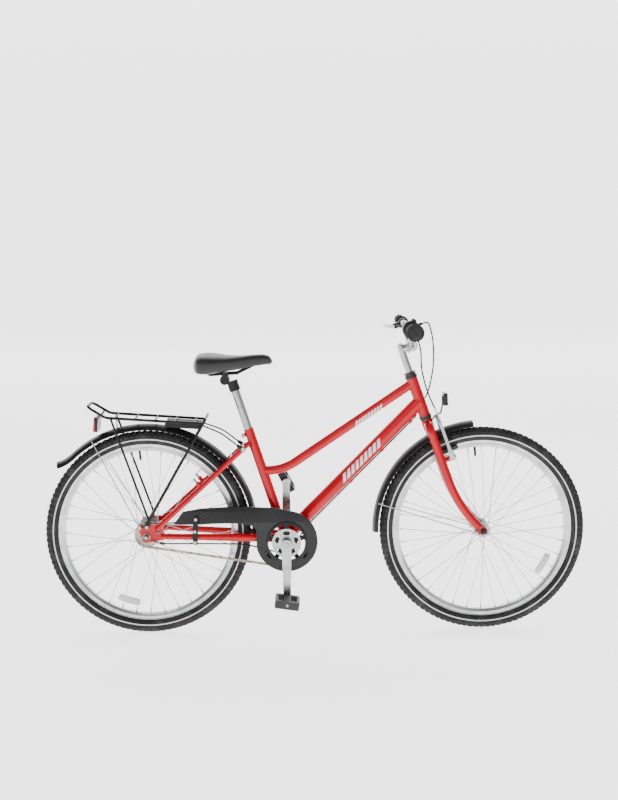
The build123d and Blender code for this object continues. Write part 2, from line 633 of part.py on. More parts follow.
with BuildPart() as steerer:
    rod(steer(CROWN_S - CROWN_LENGTH + 4.0), steer(LOCKNUT_TOP), STEERER_RADIUS, QUILL_RADIUS + RUNNING_GAP)

with BuildPart() as fork_crown:
    rod(steer(CROWN_S - CROWN_LENGTH), steer(CROWN_S), CROWN_RADIUS)
    rod(steer(CROWN_S - CROWN_LENGTH + 4.0), steer(CROWN_S + 1.0), STEERER_RADIUS, mode=Mode.SUBTRACT)

with BuildPart() as fork_ends:
    for inner in (END_OUT, -END_IN):
        hull_plate([(FRONT_AXLE, 13.0), (steer(22.0, 38.0), 9.0)], inner, END_THICKNESS)
        hull_plate([(FRONT_AXLE, 9.0), (steer(3.0, 26.0), 6.5)], inner, END_THICKNESS)
    across(FRONT_AXLE, FRONT_AXLE_RADIUS, -100.0, 100.0, mode=Mode.SUBTRACT)
    across(steer(3.0, 26.0), EYE_RADIUS, -100.0, 100.0, mode=Mode.SUBTRACT)
    with BuildSketch(side_plane(100.0)) as slot:
        with Locations(Location((FRONT_X, WHEEL_RADIUS), HEAD_LEAN - 90.0)):
            Rectangle(30.0, 2 * FRONT_AXLE_RADIUS, align=(Align.MIN, Align.CENTER))
    extrude(slot.sketch, amount=200.0, mode=Mode.SUBTRACT)

with BuildPart() as fork_blades:
    for hand in (-1, 1):
        route = [steer(CROWN_S - 16.5, 0, hand * 8.0), steer(CROWN_S - 20.0, 0, hand * BLADE_TOP_SIDE),
                 steer(RAKE_CORNER, 0, hand * BLADE_END_SIDE), steer(3.0, FORK_RAKE - 1.5, hand * BLADE_END_SIDE)]
        bent_tube(route, [24.0, 400.0], BLADE_RADIUS, BLADE_RADIUS - TUBE_WALL)
        boss = steer(BOSS_S, 0, hand * BOSS_SIDE)
        rod(boss + HEAD_OUT * 8.0, boss + HEAD_OUT * BOSS_FACE, 8.0)
    rod(steer(CROWN_S - CROWN_LENGTH), steer(CROWN_S), CROWN_RADIUS, mode=Mode.SUBTRACT)
    with BuildSketch(side_plane(100.0)) as foot_cut:
        with Locations(Location((FRONT_X, WHEEL_RADIUS), HEAD_LEAN)):
            Rectangle(BLADE_CUT_WIDTH, 2 * BLADE_FOOT)
    extrude(foot_cut.sketch, amount=200.0, mode=Mode.SUBTRACT)
    add(fork_ends.part, mode=Mode.SUBTRACT)
save_group("fork", fork_crown, steerer, fork_blades, fork_ends)

with BuildPart() as brake_posts:
    for hand in (-1, 1):
        boss = steer(BOSS_S, 0, hand * BOSS_SIDE)
        rod(boss + HEAD_OUT * BOSS_FACE, boss + HEAD_OUT * POST_END, 4.0)
        rod(boss + HEAD_OUT * POST_END, boss + HEAD_OUT * (POST_END + 4.0), 7.0)

FRONT_AXLE_END = END_OUT + WASHER + NUT_LENGTH + 6.0

with BuildPart() as front_axle:
    axle(FRONT_AXLE, FRONT_AXLE_RADIUS, FRONT_AXLE_END, 6.0)

with BuildPart() as front_axle_nuts:
    for hand in (-1, 1):
        inner = hand * END_OUT
        outer = hand * (END_OUT + WASHER)
        across(FRONT_AXLE, 9.5, min(inner, outer), max(inner, outer), FRONT_AXLE_RADIUS)
        nut_end = hand * (END_OUT + WASHER + NUT_LENGTH)
        hexagon(FRONT_AXLE, 8.4, min(outer, nut_end), max(outer, nut_end), FRONT_AXLE_RADIUS)
        cone = hand * (END_IN - 6.0)
        across(FRONT_AXLE, 8.0, min(cone, hand * END_IN), max(cone, hand * END_IN), FRONT_AXLE_RADIUS)
save_group("front_axle", front_axle, front_axle_nuts)

# Quill stem with a short reach, its wedge and its two bolts.
STEM_S = HEAD_HIGH + STEM_RISE
QUILL_LOW = HEAD_LOW + 45.0
QUILL_TOP = STEM_S + 12.0
CLAMP_RADIUS = 17.0
CLAMP_HALF = 20.0
BOLT_RADIUS = 4.2

with BuildPart() as stem:
    rod(steer(QUILL_LOW), steer(QUILL_TOP), QUILL_RADIUS)
    rod(steer(STEM_S), steer(STEM_S, STEM_REACH), 11.5)
    across(steer(STEM_S, STEM_REACH), CLAMP_RADIUS, -CLAMP_HALF, CLAMP_HALF)
    across(steer(STEM_S, STEM_REACH), BAR_BULGE, -50.0, 50.0, mode=Mode.SUBTRACT)
    rod(steer(QUILL_LOW - 1.0), steer(STEM_S + 20.0), BOLT_RADIUS, mode=Mode.SUBTRACT)
save(stem, "stem")

with BuildPart() as stem_wedge:
    rod(steer(QUILL_LOW - 26.0), steer(QUILL_LOW - 0.2), QUILL_RADIUS - 0.3, BOLT_RADIUS)

with BuildPart() as stem_bolt:
    rod(steer(QUILL_LOW - 26.0), steer(QUILL_TOP), BOLT_RADIUS - 0.2)
    with BuildSketch(Plane(origin=steer(QUILL_TOP), z_dir=HEAD_UP)) as head:
        RegularPolygon(7.0, 6)
    extrude(head.sketch, amount=6.0)

with BuildPart() as clamp_bolt:
    rod(steer(STEM_S - 19.0, 19.0), steer(STEM_S - 8.5, 19.0), 5.0)
    add(stem.part, mode=Mode.SUBTRACT)

BAR_S = STEM_S + BAR_RISE
BAR_OUT = STEM_REACH + 5.6
BAR_BEND = 110.0
BAR_FLAT = 50.0

with BuildPart() as handlebar:
    route = [steer(BAR_S, BAR_OUT, -BAR_HALF), steer(BAR_S, BAR_OUT, -BAR_BEND),
             steer(STEM_S, STEM_REACH, -BAR_FLAT), steer(STEM_S, STEM_REACH, BAR_FLAT),
             steer(BAR_S, BAR_OUT, BAR_BEND), steer(BAR_S, BAR_OUT, BAR_HALF)]
    bent_tube(route, [45.0, 45.0, 45.0, 45.0], BAR_RADIUS, BAR_RADIUS - TUBE_WALL)
    across(steer(STEM_S, STEM_REACH), BAR_BULGE, -25.0, 25.0, BAR_RADIUS - 0.5)
save(handlebar, "handlebar")

BAR_END = steer(BAR_S, BAR_OUT)
CAP = 3.0

with BuildPart() as left_grip:
    across(BAR_END, GRIP_RADIUS, 172.0, BAR_HALF + CAP)
    across(BAR_END, GRIP_RADIUS + 3.5, 172.0, 177.0)
    across(BAR_END, BAR_RADIUS, 160.0, BAR_HALF, mode=Mode.SUBTRACT)

TWIST_IN = 166.0
TWIST_OUT = 222.0

with BuildPart() as right_grip:
    across(BAR_END, GRIP_RADIUS, -BAR_HALF - CAP, -TWIST_OUT - MOVING_GAP)
    across(BAR_END, BAR_RADIUS, -BAR_HALF, -200.0, mode=Mode.SUBTRACT)
save_group("grips", left_grip, right_grip)

with BuildPart() as twist_grip:
    across(BAR_END, GRIP_RADIUS + 2.0, -TWIST_OUT, -TWIST_IN, BAR_RADIUS + RUNNING_GAP)
    across(BAR_END, GRIP_RADIUS + 5.5, -TWIST_IN - 8.0, -TWIST_IN, BAR_RADIUS + RUNNING_GAP)
save(twist_grip, "twist_grip")

HOUSING_RADIUS = 26.5

with BuildPart() as shifter_housing:
    across(BAR_END, HOUSING_RADIUS, -TWIST_IN + MOVING_GAP, -TWIST_IN + 30.0, BAR_RADIUS)
    window = steer(BAR_S + 21.0, BAR_OUT + 15.0)
    across(window, 8.0, -TWIST_IN + MOVING_GAP, -TWIST_IN + 24.0)
    rod(steer(BAR_S + 6.0, BAR_OUT + 18.0, -148.0), steer(BAR_S + 4.0, BAR_OUT + 36.0, -138.0), 4.5)
    across(BAR_END, BAR_RADIUS, -200.0, -100.0, mode=Mode.SUBTRACT)
save(shifter_housing, "shifter_housing")

# Front brake lever, set to point back from the left grip.
LEVER_PIVOT = steer(BAR_S, BAR_OUT - 27.0, 140.0)
LEVER_TIP = steer(BAR_S - 3.0, BAR_OUT - 52.0, 288.0)
PIVOT_RADIUS = 3.0
LEVER_HALF = 4.0

with BuildPart() as lever_bracket:
    across(BAR_END, 15.0, 132.0, 150.0, BAR_RADIUS)
    for low, high in ((LEVER_HALF + MOVING_GAP, LEVER_HALF + 4.5), (-LEVER_HALF - 4.5, -LEVER_HALF - MOVING_GAP)):
        start = steer(BAR_S + low, BAR_OUT - 27.0, 140.0)
        rod(start, start + HEAD_UP * (high - low), 8.0)
        with BuildSketch(Plane(origin=start, x_dir=HEAD_OUT, z_dir=HEAD_UP)) as ear:
            Rectangle(20.0, 14.0, align=(Align.MIN, Align.CENTER))
        extrude(ear.sketch, amount=high - low)
    rod(steer(BAR_S, BAR_OUT - 22.0, 128.0), steer(BAR_S, BAR_OUT - 22.0, 108.0), 4.5)
    with BuildSketch(Plane(origin=steer(BAR_S - LEVER_HALF - 4.5, BAR_OUT - 18.0, 128.0), x_dir=HEAD_OUT,
                           z_dir=HEAD_UP)) as web:
        Rectangle(26.0, 6.0)
    extrude(web.sketch, amount=2 * LEVER_HALF + 9.0)
    across(BAR_END, BAR_RADIUS, 100.0, 200.0, mode=Mode.SUBTRACT)
    add(handlebar.part, mode=Mode.SUBTRACT)
    rod(LEVER_PIVOT - HEAD_UP * 20.0, LEVER_PIVOT + HEAD_UP * 20.0, PIVOT_RADIUS, mode=Mode.SUBTRACT)

with BuildPart() as lever_pin:
    rod(LEVER_PIVOT - HEAD_UP * (LEVER_HALF + 4.5), LEVER_PIVOT + HEAD_UP * (LEVER_HALF + 4.5), PIVOT_RADIUS)
save_group("lever_bracket", lever_bracket, lever_pin)

with BuildPart() as brake_lever:
    blade_plane = Plane(origin=steer(BAR_S - LEVER_HALF, BAR_OUT), x_dir=SIDE, z_dir=HEAD_UP)
    with BuildSketch(blade_plane) as blade:
        with BuildLine():
            Polyline((140.0, 19.0), (164.0, 22.0), (176.0, 36.0), (230.0, 44.0), (288.0, 46.5), (292.0, 52.0),
                     (286.0, 57.5), (228.0, 55.0), (168.0, 47.0), (152.0, 35.0), (140.0, 35.0), (132.5, 30.0),
                     (132.5, 24.0), close=True)
        make_face()
    extrude(blade.sketch, amount=2 * LEVER_HALF)
    rod(LEVER_PIVOT - HEAD_UP * 20.0, LEVER_PIVOT + HEAD_UP * 20.0, PIVOT_RADIUS + RUNNING_GAP, mode=Mode.SUBTRACT)
save(brake_lever, "brake_lever")

# Linear-pull brake: an arm on each post, with its pad, and the curved cable guide on the right arm.
ARM_IN = BOSS_FACE + MOVING_GAP
ARM_OUT = POST_END - MOVING_GAP
ARM_TOP_S = 377.0
ARM_TOP_SIDE = 47.0
PAD_S = sqrt(TRACK_RADIUS ** 2 - (FORK_RAKE - 35.0) ** 2)
PAD_DEPTH = 9.0


def arm_plane(out):
    """The plane square to a brake post, its first direction left and its second up the fork."""
    return Plane(origin=steer(0.0, out), x_dir=SIDE, z_dir=HEAD_OUT)


def brake_arm(hand):
    """One brake arm with the boss that turns on the post."""
    with BuildSketch(arm_plane(ARM_OUT - 15.0)) as outline:
        with Locations((hand * BOSS_SIDE, BOSS_S)):
            Circle(9.5)
        with Locations((hand * (ARM_TOP_SIDE + 1.0), PAD_S + 6.0)):
            Circle(7.5)
        make_hull()
    extrude(outline.sketch, amount=13.0)
    with BuildSketch(arm_plane(ARM_OUT - 13.0)) as upper:
        with Locations((hand * (ARM_TOP_SIDE + 1.0), PAD_S + 6.0)):
            Circle(7.5)
        with Locations((hand * ARM_TOP_SIDE, ARM_TOP_S)):
            Circle(6.0)
        make_hull()
    extrude(upper.sketch, amount=9.0)
    boss = steer(BOSS_S, 0, hand * BOSS_SIDE)
    rod(boss + HEAD_OUT * ARM_IN, boss + HEAD_OUT * ARM_OUT, 8.5)
    rod(boss, boss + HEAD_OUT * 60.0, 4.0 + RUNNING_GAP, mode=Mode.SUBTRACT)
    across(steer(PAD_S, 35.0), 3.5, -100.0, 100.0, mode=Mode.SUBTRACT)


PAD_SPOT = steer(PAD_S, 35.0)
PAD_RADIAL = (PAD_SPOT - FRONT_AXLE).normalized()
GUIDE_SIDE = -ARM_TOP_SIDE - 22.0

for name, hand in (("right_brake_arm", -1), ("left_brake_arm", 1)):
    with BuildPart() as arm:
        brake_arm(hand)
    near = hand * (RIM_WIDTH / 2 + PAD_GAP)
    far = hand * (RIM_WIDTH / 2 + PAD_GAP + PAD_DEPTH)
    with BuildPart() as pad:
        with BuildSketch(Plane(origin=PAD_SPOT + SIDE * min(near, far), x_dir=PAD_RADIAL, z_dir=SIDE)) as block:
            SlotOverall(62.0, 11.0, rotation=90.0)
        extrude(block.sketch, amount=PAD_DEPTH)
    with BuildPart() as pad_stud:
        end = hand * (ARM_TOP_SIDE + 12.0)
        across(PAD_SPOT, 3.4, min(far, end), max(far, end))
    if hand > 0:
        save_group(name, arm, pad, pad_stud)
    else:
        with BuildPart() as cable_guide:
            route = [steer(428.0, 33.0, GUIDE_SIDE - 1.0), steer(ARM_TOP_S + 1.0, 37.0, GUIDE_SIDE),
                     steer(ARM_TOP_S, 37.0, -30.0)]
            bent_tube(route, [17.0], 2.2)
            add(arm.part, mode=Mode.SUBTRACT)
        save_group(name, arm, pad, pad_stud, cable_guide)

with BuildPart() as brake_wire:
    across(steer(ARM_TOP_S, 37.0), 0.8, -29.6, ARM_TOP_SIDE - 6.5)
    across(steer(ARM_TOP_S, 37.0), 4.0, -20.0, 20.0)

BRAKE_ROUTE = [steer(BAR_S, BAR_OUT - 22.0, 107.6), steer(BAR_S + 1.0, BAR_OUT - 18.0, 74.0),
               steer(BAR_S - 12.0, BAR_OUT + 2.0, 40.0), steer(STEM_S + 22.0, STEM_REACH + 25.0, 10.0),
               steer(STEM_S - 22.0, STEM_REACH + 22.0, -12.0), steer(STEM_S - 74.0, STEM_REACH + 2.0, -34.0),
               steer(STEM_S - 128.0, STEM_REACH - 5.0, -54.0), steer(STEM_S - 166.0, STEM_REACH - 5.0, -65.0),
               steer(428.4, 33.0, -ARM_TOP_SIDE - 23.0)]

with BuildPart() as brake_cable:
    radii = cable_radii(BRAKE_ROUTE)
    print("brake cable arcs", [round(radius) for radius in radii])
    bent_tube(BRAKE_ROUTE, radii, CABLE_RADIUS)
save_group("brake_cable", brake_cable, brake_wire)

FRONT_GUARD_START = 95.0
FRONT_GUARD_END = 181.0
FRONT_WIRE_ANGLE = 165.0
GUARD_STUD_RADIUS = 6.0
FRONT_EYE = steer(3.0, 26.0)

with BuildPart() as front_mudguard:
    start_face = guard_section(guard_plane(FRONT_AXLE, FRONT_GUARD_START), GUARD_RADIUS)
    revolve(start_face, axis=Axis(FRONT_AXLE, -SIDE), revolution_arc=FRONT_GUARD_END - FRONT_GUARD_START)
    guard_top = sqrt(GUARD_RADIUS ** 2 - FORK_RAKE ** 2)
    rod(steer(guard_top - 1.2), steer(CROWN_S - CROWN_LENGTH), GUARD_STUD_RADIUS)
save(front_mudguard, "front_mudguard")

with BuildPart() as front_guard_wires:
    for hand in (-1, 1):
        foot = FRONT_EYE + SIDE * hand * (END_OUT + WIRE_RADIUS + WIRE_LIFT)
        rod(foot, around(FRONT_AXLE, WIRE_HOLD + 6.0, FRONT_WIRE_ANGLE, hand * WIRE_SIDE), WIRE_RADIUS)
        eye_face = hand * (END_OUT + WIRE_EYE_DEPTH)
        across(FRONT_EYE, 5.5, min(hand * END_OUT, eye_face), max(hand * END_OUT, eye_face))
    across(FRONT_EYE, EYE_RADIUS, -100.0, 100.0, mode=Mode.SUBTRACT)
save(front_guard_wires, "front_guard_wires")

with BuildPart() as front_eye_bolts:
    for hand in (-1, 1):
        seat_face = hand * (END_OUT + WIRE_EYE_DEPTH)
        head = hand * (END_OUT + WIRE_EYE_DEPTH + EYE_BOLT_HEAD)
        across(FRONT_EYE, 5.6, min(seat_face, head), max(seat_face, head))
        tip = hand * END_IN
        across(FRONT_EYE, EYE_RADIUS, min(tip, seat_face), max(tip, seat_face))
save_group("steering_bolts", brake_posts, stem_wedge, stem_bolt, clamp_bolt, front_eye_bolts)

# Front reflector on a stepped strip from the crown, which also holds the mudguard.
STRIP_S = CROWN_S - 10.0

with BuildPart() as reflector_bracket:
    with BuildSketch(side_plane(9.0)) as strip:
        with BuildLine():
            edge = [steer(STRIP_S, CROWN_RADIUS + 0.2), steer(STRIP_S + 9.0, CROWN_RADIUS + 12.0),
                    steer(STRIP_S + 12.0, 52.0), steer(STRIP_S + 26.0, 60.0), steer(STRIP_S + 36.0, 66.0),
                    steer(STRIP_S + 62.0, 74.0)]
            back = [steer(STRIP_S + 63.0, 70.5), steer(STRIP_S + 38.0, 62.5), steer(STRIP_S + 28.0, 56.5),
                    steer(STRIP_S + 15.0, 49.0), steer(STRIP_S + 12.0, CROWN_RADIUS + 10.0),
                    steer(STRIP_S + 3.0, CROWN_RADIUS + 0.2)]
            Polyline(*[(point.X, point.Z) for point in edge + back], close=True)
        make_face()
    extrude(strip.sketch, amount=18.0)

with BuildPart() as front_reflector:
    with BuildSketch(Plane(origin=steer(STRIP_S + 52.0, 71.5), x_dir=SIDE, z_dir=Vector(1, 0, 0.05))) as lens:
        RectangleRounded(52.0, 39.0, 5.0)
    extrude(lens.sketch, amount=13.0)
    add(reflector_bracket.part, mode=Mode.SUBTRACT)
save_group("front_reflector", front_reflector, reflector_bracket)

# ================================================================ wheels
TUBE_CENTRE = RIM_RADIUS + 18.0
VALVE_ANGLE = 95.0


def ring(centre, points):
    """A ring about a wheel's axle, turned from a closed outline of (radius, side) points."""
    with BuildSketch(guard_plane(centre, 0.0)) as section:
        with BuildLine():
            Polyline(*points, close=True)
        make_face()
    revolve(section.sketch, axis=Axis(centre, SIDE))


def tyre_section(shrink):
    """Half outline of the tyre from the bead to the tread, pulled in by a wall's thickness."""
    half = TYRE_WIDTH / 2 - shrink
    top = WHEEL_RADIUS - shrink
    bead = RIM_WIDTH / 2 - RIM_WALL - 0.2 - shrink * 0.6
    widest = RIM_RADIUS + 0.45 * TYRE_DEPTH
    low = RIM_RADIUS - 8.0 + shrink * 1.2
    return [(low, bead), (RIM_RADIUS + 1.0, bead), (widest - 6.0, half), (widest + 5.0, half),
            (top - 5.0, half * 0.68), (top, half * 0.3)]


def spokes(centre, flange_radius, flanges, rim_side):
    """Crossed spokes from both flanges to the rim, alternately on each face of a flange."""
    per_flange = SPOKE_COUNT // 2
    pitch = 360.0 / per_flange
    for flange, shift in zip(flanges, (0.0, pitch / 2)):
        hand = 1 if flange > 0 else -1
        for index in range(per_flange):
            lean = 1 if index % 2 else -1
            rim_angle = index * pitch + shift
            hub_angle = rim_angle + lean * 2.5 * pitch
            face = 4.0 if lean == hand else 2.6
            start = around(centre, flange_radius, hub_angle, flange + lean * face)
            end = around(centre, RIM_RADIUS - RIM_DEPTH - 0.3, rim_angle, hand * rim_side)
            rod(start, end, SPOKE_RADIUS)


FRONT_FLANGES = (-33.0, 33.0)
REAR_FLANGES = (-30.0, 34.0)
DRIVER_SIDE = -42.0
WHEELS = (("front", FRONT_AXLE, 19.0, FRONT_FLANGES), ("rear", REAR_AXLE, 36.0, REAR_FLANGES))

for name, centre, flange_radius, flanges in WHEELS:
    with BuildPart() as tyre:
        outer = tyre_section(0.0)
        inner = tyre_section(TYRE_WALL)
        outline = outer + [(r, -s) for r, s in reversed(outer)]
        cavity = [(r, -s) for r, s in inner] + list(reversed(inner))
        ring(centre, outline + cavity)
    save(tyre, f"{name}_tyre")

    with BuildPart() as inner_tube:
        with BuildSketch(guard_plane(centre, 0.0)) as section:
            with Locations((TUBE_CENTRE, 0.0)):
                Circle(15.0)
                Circle(13.8, mode=Mode.SUBTRACT)
        revolve(section.sketch, axis=Axis(centre, SIDE))
    with BuildPart() as rim:
        half = RIM_WIDTH / 2
        base = RIM_RADIUS - RIM_DEPTH
        ring(centre, [(RIM_RADIUS, half), (RIM_RADIUS, half - RIM_WALL), (RIM_RADIUS - 9.0, half - RIM_WALL),
                      (RIM_RADIUS - 12.0, 5.0), (RIM_RADIUS - 12.0, -5.0), (RIM_RADIUS - 9.0, RIM_WALL - half),
                      (RIM_RADIUS, RIM_WALL - half), (RIM_RADIUS, -half), (RIM_RADIUS - 12.0, -half),
                      (base, -7.0), (base, 7.0), (RIM_RADIUS - 12.0, half)])
        valve_spot = around(centre, base - 2.0, VALVE_ANGLE)
        rod(valve_spot, around(centre, RIM_RADIUS, VALVE_ANGLE), 4.0, mode=Mode.SUBTRACT)
    save(rim, f"{name}_rim")

    with BuildPart() as spoke_set:
        spokes(centre, flange_radius, flanges, 3.0)
    save(spoke_set, f"{name}_spokes")

    with BuildPart() as valve:
        rod(around(centre, base - 30.0, VALVE_ANGLE), around(centre, TUBE_CENTRE - 15.2, VALVE_ANGLE), 3.85)
    save_group(f"{name}_inner_tube", inner_tube, valve)

with BuildPart() as front_hub:
    reach = END_IN - 6.0 - MOVING_GAP
    across(FRONT_AXLE, 13.0, -reach, reach)
    for flange in FRONT_FLANGES:
        across(FRONT_AXLE, 24.0, flange - 1.4, flange + 1.4)
    across(FRONT_AXLE, FRONT_AXLE_RADIUS + RUNNING_GAP, -80.0, 80.0, mode=Mode.SUBTRACT)
save(front_hub, "front_hub")

with BuildPart() as rear_hub:
    across(REAR_AXLE, 28.0, DRIVER_SIDE + MOVING_GAP, 48.0)
    across(REAR_AXLE, 18.0, 48.0, DROPOUT_IN - 7.0 - MOVING_GAP)
    for flange in REAR_FLANGES:
        across(REAR_AXLE, 41.0, flange - 1.4, flange + 1.4)
    across(REAR_AXLE, AXLE_RADIUS + RUNNING_GAP, -80.0, 80.0, mode=Mode.SUBTRACT)
save(rear_hub, "rear_hub")

# ================================================================ drive


def toothed_disc(centre, teeth, radius, low, high, bore):
    """A chain wheel: a disc with a notch of roller size at every tooth gap."""
    plane = Plane(origin=centre + SIDE * high, x_dir=Vector(1, 0, 0), z_dir=-SIDE)
    with BuildSketch(plane) as disc:
        Circle(radius + 1.8)
        with PolarLocations(radius, teeth):
            Circle(4.1, mode=Mode.SUBTRACT)
        Circle(bore, mode=Mode.SUBTRACT)
    extrude(disc.sketch, amount=high - low)


RING_HALF = 1.3

with BuildPart() as rear_sprocket:
    toothed_disc(REAR_AXLE, SPROCKET_TEETH, SPROCKET_RADIUS, -CHAIN_LINE - RING_HALF, -CHAIN_LINE + RING_HALF, 17.0)

with BuildPart() as driver:
    across(REAR_AXLE, 17.0, -CHAIN_LINE - 4.0, DRIVER_SIDE, AXLE_RADIUS + RUNNING_GAP)
save_group("rear_sprocket", rear_sprocket, driver)

with BuildPart() as chainring:
    toothed_disc(BRACKET, RING_TEETH, RING_RADIUS, -CHAIN_LINE - RING_HALF, -CHAIN_LINE + RING_HALF, 58.0)
    plane = Plane(origin=BRACKET + SIDE * (RING_HALF - CHAIN_LINE), x_dir=Vector(1, 0, 0), z_dir=-SIDE)
    with BuildSketch(plane) as arms:
        Circle(34.0)
        with PolarLocations(46.0, 5, start_angle=90.0):
            Rectangle(32.0, 14.0)
        Circle(16.0, mode=Mode.SUBTRACT)
    extrude(arms.sketch, amount=2 * RING_HALF)
save(chainring, "chainring")

SPIDER_LOW = -CHAIN_LINE - RING_HALF - 4.0

with BuildPart() as spider:
    across(BRACKET, 46.0, SPIDER_LOW, -CHAIN_LINE - RING_HALF, 16.0)
    with BuildSketch(Plane(origin=BRACKET + SIDE * SPIDER_LOW, x_dir=Vector(1, 0, 0), z_dir=SIDE)) as windows:
        with PolarLocations(32.0, 5, start_angle=54.0):
            SlotOverall(22.0, 13.0, rotation=90.0)
    extrude(windows.sketch, amount=20.0, mode=Mode.SUBTRACT)

CRANK_FACE = 70.0
CRANK_THICKNESS = 13.0
BOSS_RADIUS = 16.0
CRANK_IN = SHELL_WIDTH / 2 + 8.0
CRANK_OUT = CRANK_FACE + CRANK_THICKNESS
SQUARE = 12.6

with BuildPart() as spindle:
    across(BRACKET, SPINDLE_RADIUS, -CRANK_IN, CRANK_IN)
    for low, high in ((-CRANK_OUT + 4.0, -CRANK_IN), (CRANK_IN, CRANK_OUT - 4.0)):
        with BuildSketch(Plane(origin=BRACKET + SIDE * low, z_dir=SIDE)) as square:
            Rectangle(SQUARE, SQUARE)
        extrude(square.sketch, amount=high - low)

for name, hand in (("right_crank", -1), ("left_crank", 1)):
    pedal_spot = BRACKET + Vector(0, 0, hand * CRANK_LENGTH)
    with BuildPart() as crank:
        low_side = -CRANK_FACE if hand < 0 else CRANK_OUT
        hull_plate([(BRACKET, 15.5), (pedal_spot, 11.5)], low_side, CRANK_THICKNESS)
        across(BRACKET, BOSS_RADIUS, min(hand * CRANK_IN, hand * CRANK_OUT), max(hand * CRANK_IN, hand * CRANK_OUT))
        across(pedal_spot, 13.5, min(hand * CRANK_FACE, hand * CRANK_OUT), max(hand * CRANK_FACE, hand * CRANK_OUT))
        add(spindle.part, mode=Mode.SUBTRACT)
        across(BRACKET, 9.0, min(hand * (CRANK_OUT - 4.0), hand * 99.0), max(hand * (CRANK_OUT - 4.0), hand * 99.0),
               mode=Mode.SUBTRACT)
        across(pedal_spot, PEDAL_AXLE_RADIUS, -99.0, 99.0, mode=Mode.SUBTRACT)
    if hand > 0:
        save(crank, name)
    else:
        save_group(name, crank, spider)

with BuildPart() as crank_bolts:
    for hand in (-1, 1):
        inner = hand * (CRANK_OUT - 4.0)
        outer = hand * (CRANK_OUT + 1.0)
        hexagon(BRACKET, 8.0, min(inner, outer), max(inner, outer))
save_group("spindle", spindle, crank_bolts)

PEDAL_IN = CRANK_OUT + 8.0
PEDAL_OUT = PEDAL_IN + PEDAL_WIDTH
PEDAL_BORE_END = PEDAL_OUT - 6.0

with BuildPart() as pedal_axles:
    for hand in (-1, 1):
        spot = BRACKET + Vector(0, 0, hand * CRANK_LENGTH)
        start = hand * (CRANK_FACE + 1.0)
        end = hand * (PEDAL_BORE_END - 1.0)
        across(spot, PEDAL_AXLE_RADIUS, min(start, end), max(start, end))
        collar = hand * (CRANK_OUT + 4.0)
        across(spot, 8.5, min(hand * CRANK_OUT, collar), max(hand * CRANK_OUT, collar))
save(pedal_axles, "pedal_axles")

for name, hand, tilt in (("right", -1, PEDAL_TILT), ("left", 1, FAR_PEDAL_TILT)):
    spot = BRACKET + Vector(0, 0, hand * CRANK_LENGTH)
    forward = around(Vector(0, 0, 0), 1.0, -tilt)
    level = Plane(origin=spot + SIDE * hand * (PEDAL_IN + PEDAL_WIDTH / 2), x_dir=forward,
                  z_dir=forward.cross(SIDE))
    with BuildPart() as pedal:
        with BuildSketch(level.offset(-PEDAL_THICKNESS / 2)) as tread:
            RectangleRounded(PEDAL_LENGTH, PEDAL_WIDTH, 8.0)
            with Locations((-PEDAL_LENGTH * 0.26, 0), (PEDAL_LENGTH * 0.26, 0)):
                RectangleRounded(PEDAL_LENGTH * 0.24, PEDAL_WIDTH - 28.0, 4.0, mode=Mode.SUBTRACT)
        extrude(tread.sketch, amount=PEDAL_THICKNESS)
        low_side = hand * (PEDAL_IN - 1.0)
        high_side = hand * PEDAL_BORE_END
        across(spot, PEDAL_AXLE_RADIUS + RUNNING_GAP, min(low_side, high_side), max(low_side, high_side),
               mode=Mode.SUBTRACT)
        for end in (-1, 1):
            face = level.origin + forward * end * (PEDAL_LENGTH / 2 - 3.0)
            with BuildSketch(Plane(origin=face, x_dir=SIDE, z_dir=forward * end)) as pocket:
                Rectangle(52.0, 14.0)
            extrude(pocket.sketch, amount=5.0, mode=Mode.SUBTRACT)
    save(pedal, f"{name}_pedal")

# The chain is a closed channel: side plates, with a groove that clears the teeth.
with BuildPart() as chain:
    half = CHAIN_WIDTH / 2
    hull_plate([(BRACKET, RING_RADIUS + 4.2), (REAR_AXLE, SPROCKET_RADIUS + 4.2)], half - CHAIN_LINE, CHAIN_WIDTH)
    hull_plate([(BRACKET, RING_RADIUS - 4.2), (REAR_AXLE, SPROCKET_RADIUS - 4.2)], half - CHAIN_LINE, CHAIN_WIDTH,
               mode=Mode.SUBTRACT)
    groove = RING_HALF + 0.4
    hull_plate([(BRACKET, RING_RADIUS + 2.4), (REAR_AXLE, SPROCKET_RADIUS + 2.4)], groove - CHAIN_LINE, 2 * groove,
               mode=Mode.SUBTRACT)
save(chain, "chain")

# Chain guard: a face plate with a turned-in edge, open round the cranks.
CASE_RISE = 8.0
CASE_CENTRE = BRACKET + Vector(1.0, 0, CASE_RISE)

